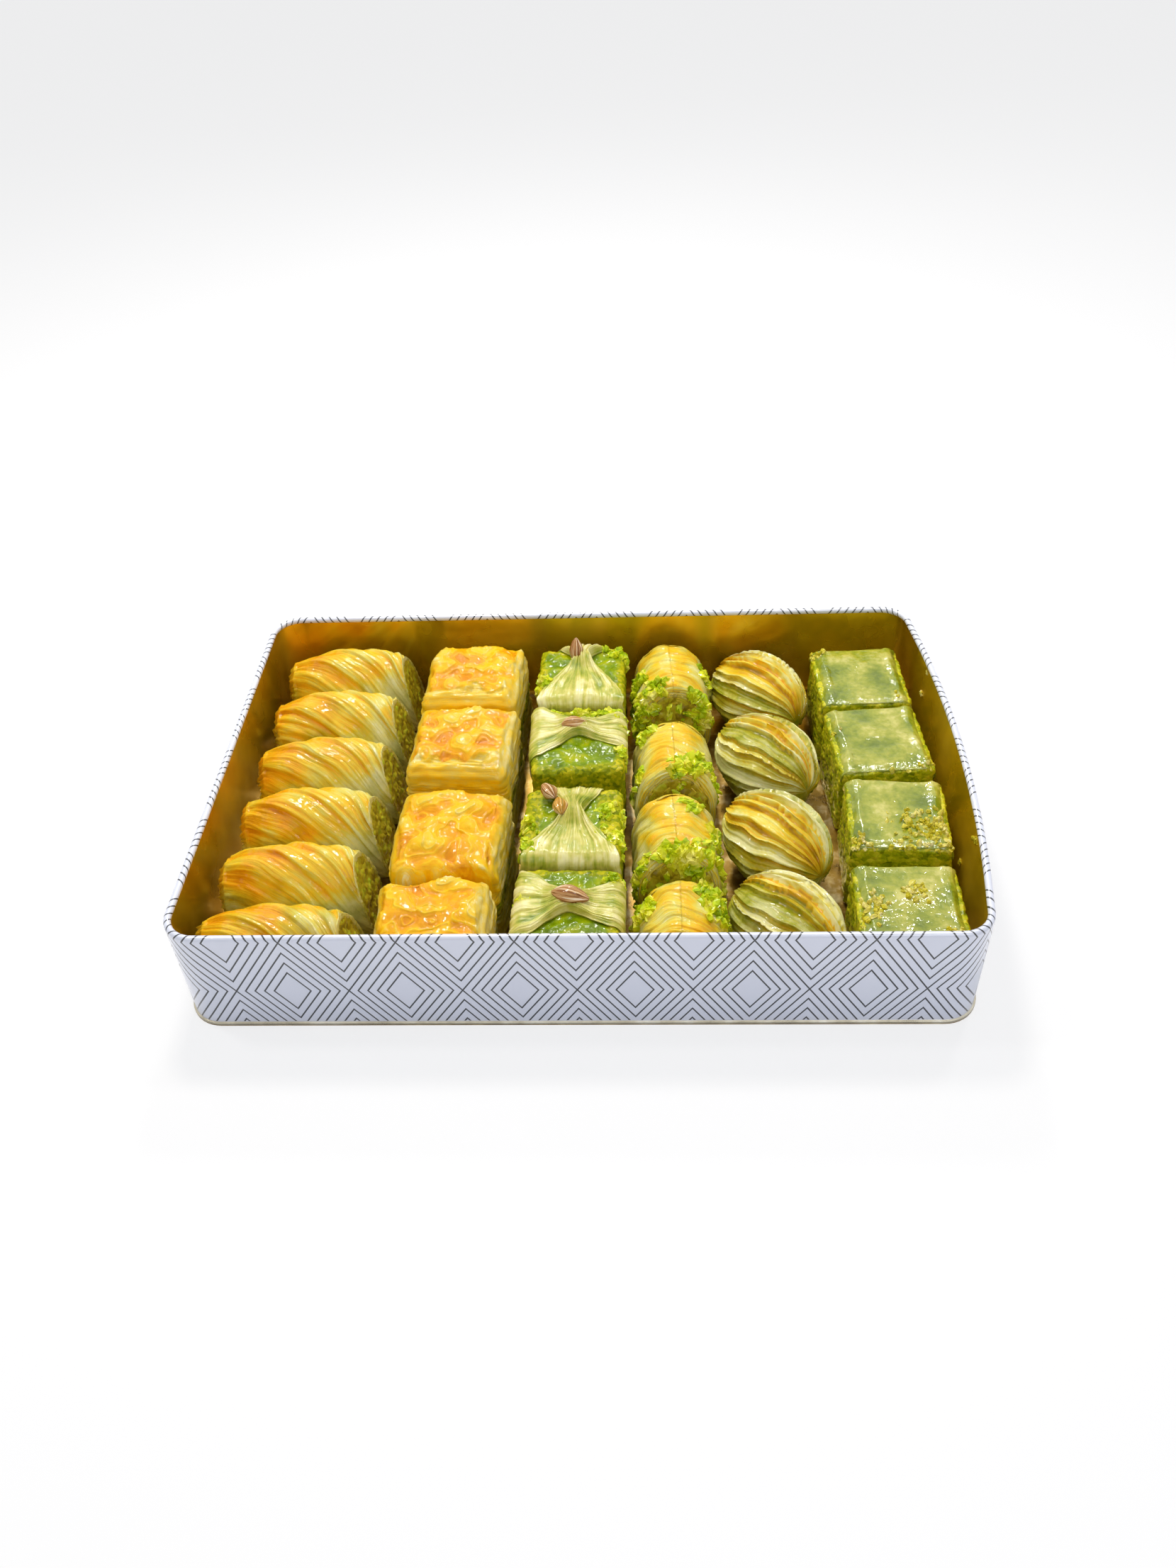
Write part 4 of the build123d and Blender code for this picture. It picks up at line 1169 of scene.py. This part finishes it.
def gathered_sheet(number):
    """The pale sheet: a waist in the middle, folds that fan out, and ends that hang down."""
    depth = stands["bundle"][number - 1][3]
    turn, waist, back = bundle_sheets[number - 1]
    half, side_half = bundle_width / 2, depth / 2
    if abs(turn) == 90:
        half, side_half = side_half, half
    seed = 260 + 13 * number
    drop = 9.0
    reach = half - bundle_edge + bundle_edge * pi / 2 + drop
    share = np.linspace(-1, 1, 104)[:, None]
    v = np.linspace(-1, 1, 132)[None, :]
    run = share * reach
    out, z = over_the_block(np.abs(run), half - 0.3, bundle_top - 0.4, bundle_edge)
    away = np.sign(run) * out
    from_waist = (away - waist) / (half - waist * np.sign(away - waist))
    front_half = side_half - 1.2 if number in (1, 3) else 18.0
    back_half = 12.0
    spread = np.where(from_waist > 0, front_half, back_half)
    width = 4.4 + (spread - 4.4) * smooth_step(np.abs(from_waist), 0.0, 1.0) ** 0.75
    low_share = smooth_step(bundle_top - z, 1, 9)
    hang = noise(columns_of(9.0 * v, share * 3, 0 * v + seed), (2.4, 9, 1), seed)
    spots = columns_of(12.0 * v + 0 * share, 0.6 * run + 0 * v, 0 * v * share)
    swayed = spots + 1.5 * columns_of(noise(spots, 9, seed + 5), 0, 0)
    fans = np.abs(noise(swayed, (3.4, 17, 1), seed + 1)) ** 0.8
    fine = np.abs(noise(spots, (1.2, 18, 1), seed + 2)) ** 0.8
    swell = noise(spots, (8, 14, 1), seed + 3)
    gather = 1 - smooth_step(np.abs(away - waist), 2, 11)
    rise = 0.5 + 1.4 * fans + 0.7 * fine + 0.5 * swell + gather * (1.6 + 2.2 * np.clip(1 - v**2, 0, 1))
    edge_fall = smooth_step(np.abs(v), 0.8, 1.0)
    rise = rise * (1 - 0.75 * edge_fall) - 0.2 * edge_fall
    edge_x = width * (1 + 0.06 * noise(columns_of(run, 0 * run, 0 * run), 5, seed + 4)) * v
    bend = bundle_edge * pi / 2
    steep = np.clip(np.abs(run) - (half - bundle_edge), 0, bend) / bend
    lean = np.sin(steep * pi / 2)
    grow = np.sign(run) * rise * 0.8 * lean
    top_x = away + grow
    top_z = z + rise * (1 - lean) - hang * low_share * 1.2
    low_x, low_z = away - np.sign(run) * 0.9 * lean, z - 0.9 * (1 - lean)
    upper = columns_of(top_x, edge_x, top_z)
    lower = columns_of(low_x + 0 * v, edge_x * 0.97, low_z + 0 * v)[:, ::-1][:, ::6]
    rings = np.concatenate([upper, lower], axis=1)
    # The marks are 0 on the underside
    marks = {"fold": 0.15 + 0.9 * fans + 0.3 * fine, "across": 12.0 * v + 0 * share, "along": run + 0 * v}
    under = 0 * lower[..., 0]
    marks = {key: np.concatenate([value, under], axis=1) for key, value in marks.items()}
    made = place(surface(rings, **marks), 0, back, 0, turn)
    limit = (bundle_width / 2, depth / 2)
    for axis in (0, 1):
        made["points"][:, axis] = np.clip(made["points"][:, axis], -limit[axis] - 0.6, limit[axis] + 0.6)
    return made


print("sheets", len(bundle_sheets))


# %% Kernels
kernel_radius = 3.75


def shelled_kernel(x, y, turn, tilt, length, inside, seed):
    """One kernel, lying on the sheet or standing up out of it."""
    share = np.linspace(0.02, 0.98, 44)
    angle = np.linspace(0, 2 * pi, 60, endpoint=False)
    radius = kernel_radius * np.sin(pi * share) ** 0.72 * (1 + 0.12 * np.cos(pi * share))
    radius = (radius * np.clip(length / 14, 0.85, 1.1))[:, None]
    ring_x = ((share - 0.5) * length)[:, None]
    seam = 0.1 * np.exp(-((angle - pi / 2.4) ** 2) / 0.01)
    ridge = 1 + 0.05 * np.cos(7 * angle + 1.3 * np.sin(2 * angle)) - seam
    rings = columns_of(ring_x, radius * ridge * np.cos(angle), 0.88 * radius * ridge * np.sin(angle))
    opened = inside * smooth_step(np.sin(angle)[None, :] + 0.3 * noise(rings, 3, seed), 0.1, 0.7)
    made = surface(rings, across=kernel_radius * angle[None, :], along=ring_x, inside=opened)
    made = push(made, 0.22 * noise(made["points"], (6, 1.4, 1.4), seed + 1))
    c, s = cos(radians(tilt)), sin(radians(tilt))
    made["points"] = made["points"] @ np.array([[c, 0, s], [0, 1, 0], [-s, 0, c]])
    rise = max(kernel_radius, length / 2 * s) - 1.2
    return place(made, x, y, bundle_top + rise + 0.6, turn)


print("kernels are up to", max(spot[4] for spots_of in bundle_kernels for spot in spots_of), "mm long")


# %% Put the bundles together
for number in range(1, len(stands["bundle"]) + 1):
    body = f"bundle_{number}"
    paste = stand(paste_block(number), "bundle", number)
    block = piece(f"bundle_block_{number}", [paste], pressed_paste, body, f"{body}_paste")
    scatter(f"crumbs_on_{body}", block, body, 3.6, 27, 20 + number)
    sheet = stand(gathered_sheet(number), "bundle", number)
    piece(f"bundle_sheet_{number}", [sheet], pale_sheet, body, f"{body}_wrap")
    nuts = [
        stand(shelled_kernel(*spot, 300 + 10 * number + place_no), "bundle", number)
        for place_no, spot in enumerate(bundle_kernels[number - 1])
    ]
    piece(f"bundle_kernels_{number}", nuts, kernel_skin, body, f"{body}_kernels")
print("bundles", number)

# %% [markdown]
# ## Loose crumbs
#
# A few crumbs stick to the inside of the long right wall. Small patches of the crumbs' own
# material are their seats, and both ride on the tin.


# %% Loose crumbs on the tin
def right_wall_inside(y, z):
    """Where the inner face of the long right wall is at this place."""
    plan = tin_plan(tinplate, bow_at(z))
    on_side = (plan[:, 0] > half_length - corner_radius) & (np.abs(plan[:, 1]) < half_width - 5)
    side = plan[on_side]
    side = side[np.argsort(side[:, 1])]
    return np.interp(y, side[:, 1], side[:, 0])


# Each spot on the right wall: y, z and width
loose_spots = (
    (-45.9, 39.6, 3.4), (-43.0, 37.9, 2.4), (60.7, 42.0, 1.8), (60.8, 30.0, 2.6), (-38.7, 20.8, 2.6)
)
patches = []
for y, z, width in loose_spots:
    turned = np.arange(8) * pi / 4
    ring = columns_of(0, width / 2 * np.cos(turned), width / 2 * np.sin(turned))
    x = right_wall_inside(y, z)
    patch = np.stack([ring + (x - 0.1, y, z), ring * 0.7 + (x - 0.6, y, z)])
    patches.append(surface(patch, crumbs=1.0))
stuck = piece("crumb_seats_on_the_wall", patches, dry_crumbs, "tin", None)
scatter("loose_crumbs_on_the_wall", stuck, "tin", 1.3, 60, 77, dry_crumbs)

# %% [markdown]
# ## Crumbed rolls
#
# A short roll of filo is open at both ends on its chopped filling, and bright green crumbs are
# pressed on. The wrap's edges run round the roll, so its saw wave follows the roll's length.


# %% Short rolls
crumbed_half, crumbed_top, crumbed_shoulder = 17.75, 37.5, 15.5
# Where crumbs lie thickest on each roll: x, y and how far they reach, from its middle
crumb_heaps = (
    ((-13, -15, 12), (-15, 3, 8), (11, -20, 7), (16, 6, 6)),
    ((4, -14, 11), (13, -5, 8), (-11, 14, 7), (-15, -6, 6)),
    ((2, -19, 13), (13, -12, 9), (16, 5, 8), (-15, -15, 8), (8, 14, 5)),
    ((15, 5, 10), (11, 14, 8), (-15, 8, 7)),
)


def slant_front(made, depth):
    """Leans a roll's front end back, so that its filling shows from above."""
    points = made["points"]
    near = np.clip((-points[:, 1] - depth / 2 + 22) / 22, 0, 1.1) ** 2
    points[:, 1] += 7.0 * near * np.clip(points[:, 2] / crumbed_top, 0, 1.1) ** 1.5


def crumbed_roll(number):
    """The wrap of one short roll, with rings from its back to its front."""
    depth = stands["crumbed"][number - 1][3]
    seed = 400 + 12 * number
    half, top, shoulder = crumbed_half - 0.3, crumbed_top - 0.4, crumbed_shoulder
    back_rings, side_rings, front_rings = 8, 104, 30
    run = (np.zeros(back_rings), np.linspace(0, depth, side_rings), np.full(front_rings, depth))
    run = np.concatenate(run)[:, None]
    ends = (np.linspace(0.6, 0.98, back_rings), np.linspace(0.985, 0.56, front_rings))
    shrink = np.concatenate([ends[0], np.ones(side_rings), ends[1]])[:, None]
    angle = np.linspace(0, 2 * pi, 190, endpoint=False)
    x, z = dome_ring(angle[None, :], half, top, shoulder)
    middle = top * 0.45
    x = x * shrink
    z = middle + (z - middle) * shrink
    y = depth / 2 - run
    rings = columns_of(x, y, z)
    bow = 4.0 * smooth_step(z, 8, top)
    lane = run + bow + 3.2 * noise(rings, 13, seed) - 0.1 * x
    laps = lane / 6.5
    laps = laps - np.floor(laps)
    lap = 0.9 * (laps**2 - smooth_step(laps, 0.88, 1.0))
    around = 16 * angle[None, :]
    fine = np.abs(noise(columns_of(lane, around, 0), (1.3, 22, 1), seed + 1)) ** 0.8
    swell = noise(rings, 9, seed + 2)
    solid = smooth_step(z, 0.2, 3) * (shrink > 0.97)
    end_gap = np.minimum(run, depth - run)
    rounded = -2.4 * (1 - smooth_step(end_gap, 0, 6)) ** 2 * (shrink > 0.97)
    amount = solid * (0.9 * lap + 0.9 * fine + 1.1 * swell - 0.6) + rounded
    bake = 0.12 + 0.4 * smooth_step(z / top + 0.25 * noise(rings, 8, seed + 3), 0.66, 1.1) + 0.1 * lap
    # Painted shade: darker in the hollows between the fine wrinkles, paler on their ridges
    bake = bake + 0.2 * (0.4 - fine)
    on_end = shrink < 0.99
    leaf = np.sin(shrink * 110 + 2.5 * noise(rings, 6, seed + 5))
    bake = np.where(on_end, 0.3 + 0.16 * leaf, bake)
    green = np.clip(0.9 - 1.1 * smooth_step(z / top, 0.25, 0.7) + 0.3 * swell, 0, 1) * 0.8
    crumbs = heaped(x, y + 0 * x, crumb_heaps[number - 1]) * smooth_step(z, 6, 14)
    made = surface(rings, bake=bake, green=green, across=lane, along=around, crumbs=crumbs)
    made = push(made, amount.ravel())
    ends_out = np.where(run > depth / 2, -1, 1) * on_end
    made["points"][:, 1] += (ends_out * (0.4 * leaf + 0.9 * noise(rings, 7, seed + 6) - 1.2)).ravel()
    slant_front(made, depth)
    return keep_above(made)


for number in range(1, len(stands["crumbed"]) + 1):
    body = f"crumbed_{number}"
    depth = stands["crumbed"][number - 1][3]
    wrap = stand(crumbed_roll(number), "crumbed", number)
    roll = piece(f"crumbed_roll_{number}", [wrap], wrapped_dough, body, f"{body}_pastry")
    scatter(f"crumbs_on_{body}", roll, body, 4.9, 27, number)
    plugs = []
    for end in (-1, 1):
        plug = cut_filling(crumbed_half - 3.8, crumbed_top - 4.8, 2.5, 440 + 4 * number + end, 2.5)
        plug = place(plug, 0, end * (depth / 2 - 1.3), 0, 90 * end)
        slant_front(plug, depth)
        plugs.append(stand(plug, "crumbed", number))
    piece(f"crumbed_filling_{number}", plugs, roll_filling, body, f"{body}_filling")
print("crumbed rolls", number)

# %% [markdown]
# ## Pleated shells
#
# A shell is a pouch of filo in fine pleats, gathered at its back knuckle and at its pointed front
# end. Its rings go along its long axis. Each pleat has its own width and shade, and one sharp
# edge that laps over the next.

# %% Shells
shell_radius = 20.3
shell_axis_z = shell_radius - 2.1
pleat_count = 20


def pleated_shell(number):
    """One pleated pouch, from its round knuckle to its pointed tip."""
    length = stands["shell"][number - 1][3]
    seed = 500 + 14 * number
    half = length / 2
    knuckle, tip = asin(8 / shell_radius), asin(3 / shell_radius)
    back_rings, side_rings, front_rings, columns = 8, 132, 5, 248
    lean = np.linspace(knuckle - pi / 2, pi / 2 - tip, side_rings)
    x = half * np.sin(lean) / np.where(lean < 0, cos(knuckle), cos(tip))
    x = np.concatenate([np.full(back_rings, -half), x, np.full(front_rings, half)])
    ends = (np.full(back_rings, sin(knuckle)), np.full(front_rings, sin(tip)))
    bulk = np.concatenate([ends[0], np.cos(lean), ends[1]])
    ends = (np.linspace(0.08, 0.97, back_rings), np.linspace(0.9, 0.1, front_rings))
    shrink = np.concatenate([ends[0], np.ones(side_rings), ends[1]])
    bulk = (bulk * shrink)[:, None]
    widths = 1 + 0.45 * np.sin(2.4 * np.arange(pleat_count))
    edges = np.concatenate([[0], np.cumsum(widths)]) / widths.sum() * 2 * pi
    even = np.linspace(0, 2 * pi, columns, endpoint=False)[None, :]
    radius = shell_radius * bulk
    spot = columns_of(x[:, None], radius * np.cos(even), radius * np.sin(even))
    around = (even + 0.09 * noise(spot, 13, seed)) % (2 * pi)
    index = np.searchsorted(edges, around.ravel(), side="right") - 1
    index = np.clip(index, 0, pleat_count - 1).reshape(around.shape)
    part = (around - edges[index]) / (edges[index + 1] - edges[index])
    sunk = np.where(part < 0.9, 1 - (np.clip(part, 0, 0.9) / 0.9) ** 1.4, (part - 0.9) / 0.1)
    half_part = (part * 2.2) % 1
    small = np.where(half_part < 0.85, 1 - half_part / 0.85, (half_part - 0.85) / 0.15)
    wound = even - 0.55 * x[:, None] / length
    out = (shell_radius + 0.2) * bulk - 2.6 * bulk * sunk
    rings = columns_of(x[:, None], out * np.cos(wound), shell_axis_z + out * np.sin(wound))
    rng = np.random.default_rng(seed)
    tints = rng.uniform(-1, 1, pleat_count)[index]
    greens = rng.uniform(-1, 1, pleat_count)[index]
    swell = noise(rings, 12, seed + 1)
    lane = columns_of(around * 20, x[:, None] + 0 * around, 0 * around)
    fine = np.abs(noise(lane, (1.1, 26, 1), seed + 2)) ** 0.8
    folds = noise(lane, (5, 30, 1), seed + 4)
    amount = smooth_step(bulk, 0.1, 0.5) * (0.6 * fine + 0.8 * folds - 0.9 * small) + 0.45 * swell
    patch = noise(rings, (12, 8, 8), seed + 3)
    # Painted shade and highlight: darker in the pleats' valleys, small hollows and fine creases, and paler
    # towards each pleat's raised edge
    bake = 0.24 + 0.24 * tints + 0.3 * patch + 0.3 * (0.3 - fine)
    bake = bake + 0.16 * smooth_step(np.abs(x) / half, 0.6, 1.0)[:, None] - 0.1 * (part - 0.5)
    bake = bake + 0.3 * smooth_step(sunk, 0.75, 1.0) + 0.12 * smooth_step(small, 0.6, 1.0)
    green = 1 - smooth_step(rings[..., 2], 8, 32) + 0.5 * patch + 0.8 * (greens > 0.3)
    # Painted shade: the pleats' deep valleys are also tinted olive green
    green = np.clip(green + 0.4 * smooth_step(sunk, 0.6, 1.0), 0, 1)
    made = surface(rings, bake=bake, green=green, across=around * 20, along=x[:, None])
    return keep_above(push(made, amount.ravel()))


def shell_core(length, seed):
    """The filling inside a shell: a small rough spindle on the tin's base."""
    share = np.linspace(0.03, 0.97, 40)[:, None]
    angle = np.linspace(0, 2 * pi, 60, endpoint=False)
    radius = (shell_radius - 8.5) * np.sqrt(np.sin(pi * share))
    middle_z = shell_axis_z - 6.7
    x = (share - 0.5) * (length - 19)
    rings = columns_of(x, radius * np.cos(angle), middle_z + radius * np.sin(angle))
    made = push(surface(rings), 0.4 * (0.5 - grains(rings, 2.2, seed)[0]).ravel())
    return keep_above(made, 0.3)


for number in range(1, len(stands["shell"]) + 1):
    body = f"shell_{number}"
    pouch = stand(pleated_shell(number), "shell", number)
    piece(f"pleated_shell_{number}", [pouch], pleated_dough, body, f"{body}_pastry")
    core = stand(shell_core(stands["shell"][number - 1][3], 560 + number), "shell", number)
    piece(f"shell_core_{number}", [core], roll_filling, body, f"{body}_filling")
print("shells", number)

# %% [markdown]
# ## Green squares
#
# A square is coarse green paste between two thin sheets that the syrup has made glassy. The upper
# sheet has shrunk, so its left and right edges curve in and bend down over the paste.

# %% Material of the glassy sheet
# Thin soaked dough: a smooth wavy glaze over cloudy olive green
glassy_sheet, tree, shader = new_material(
    "glassy_soaked_sheet", Roughness=0.3, Specular_IOR_Level=0.2, Coat_Weight=1.0,
    Coat_Roughness=0.04, Coat_IOR=1.45, Subsurface_Weight=0.15,
    Subsurface_Radius=(0.003, 0.003, 0.001), Subsurface_Scale=0.6,
)
where = add(tree, "TexCoord").outputs["Object"]
cloud = add(tree, "TexNoise", {"Vector": where, "Scale": 1000 / 13, "Detail": 4.0})
fleck = add(tree, "TexNoise", {"Vector": where, "Scale": 1000 / 2.2, "Detail": 3.0})
tone = add(tree, "Math", {0: fleck, 1: 0.3, 2: cloud}, operation="MULTIPLY_ADD")
glassy_shades = ((0.46, "#6A7C08"), (0.6, "#8A961C"), (0.72, "#AAAC38"), (0.84, "#CEC86C"))
colour = add(tree, "ValToRGB", {"Fac": tone}, stops=glassy_shades)
bump = add(tree, "Bump", {"Height": cloud, "Strength": 1.0, "Distance": 0.0026})
fine = add(tree, "Bump", {"Height": fleck, "Strength": 0.25, "Distance": 0.0005, "Normal": bump})
wire(shader, Base_Color=colour, Normal=fine, Coat_Normal=bump)
print("glassy shades", len(glassy_shades))


# %% Squares
square_top, square_width, square_skin, paste_low = 35.5, 40.5, 1.4, 1.2


def square_paste(number):
    """The coarse paste block of a square."""
    depth = stands["square"][number - 1][3]
    size = (square_width, depth, square_top - square_skin - paste_low)
    rings = block_rings(size, 2.5, (1.4, 1.4), 190, 42, 30)
    seed = 600 + 9 * number
    near_grain, tint = grains(rings, 1.9, seed)
    amount = 0.8 * (0.55 - near_grain) + 0.5 * noise(rings, 6, seed + 1) + 0.3 * (tint - 0.5) - 0.1
    made = push(surface(rings), (amount * smooth_step(rings[..., 2], -0.2, 0.8)).ravel())
    return place(keep_above(made), 0, 0, paste_low)


def square_sheet(number):
    """The upper sheet: pulled in at its left and right, and bent down there."""
    depth = stands["square"][number - 1][3]
    seed = 640 + 9 * number
    s = np.linspace(-1, 1, 66)[:, None]
    v = np.linspace(-1, 1, 80)[None, :]
    y = s * (depth / 2 - 0.6)
    run = v * (24.2 - 3.6 * (1 - s**2))
    out, drop_z = over_the_block(np.abs(run), 20.45 - 1.4 * (1 - s**2), square_top - 0.2, 4.2)
    x = np.sign(run) * out
    spots = columns_of(x, y + 0 * x, 0 * x)
    sag = 0.5 * noise(spots, 14, seed) - 1.0 * smooth_step(np.abs(s), 0.8, 1.0) * (s < 0)
    z = drop_z + sag
    uneven = 0.6 + 0.6 * noise(spots, (3, 9, 1), seed + 1)
    creased = 0.5 * np.abs(noise(spots, (3.2, 16, 1), seed + 2)) * smooth_step(np.abs(run), 9, 16)
    ridge = 0.9 * np.exp(-((np.abs(run) - 15.5) ** 2) / 3.0) * uneven + creased
    upper = columns_of(x, y + 0 * x, z + ridge + 0.1)
    lower = columns_of(x * 0.96, (y + 0 * x) * 0.99, z - 1.0)[:, ::-1][:, ::5]
    rings = np.concatenate([upper, lower], axis=1)
    crumbs = heaped(rings[..., 0], rings[..., 1], square_heaps[number - 1]) * (rings[..., 2] > square_top - 3)
    return surface(rings, crumbs=crumbs * (np.arange(rings.shape[1]) < 110))


for number in range(1, len(stands["square"]) + 1):
    body = f"square_{number}"
    paste = stand(square_paste(number), "square", number)
    piece(f"square_paste_{number}", [paste], pistachio_paste, body, f"{body}_paste")
    sheet = stand(square_sheet(number), "square", number)
    depth = stands["square"][number - 1][3]
    rings = block_rings((square_width - 2, depth - 2, square_skin), 3.0, (0.3, 0.3), 120, 4, 4)
    under = stand(surface(rings, crumbs=0.0), "square", number)
    sheets = [sheet, under]
    skins = piece(f"square_sheets_{number}", sheets, glassy_sheet, body, f"{body}_skins")
    scatter(f"crumbs_on_{body}", skins, body, 2.4, 40, 40 + number, dry_crumbs)
print("squares", number)
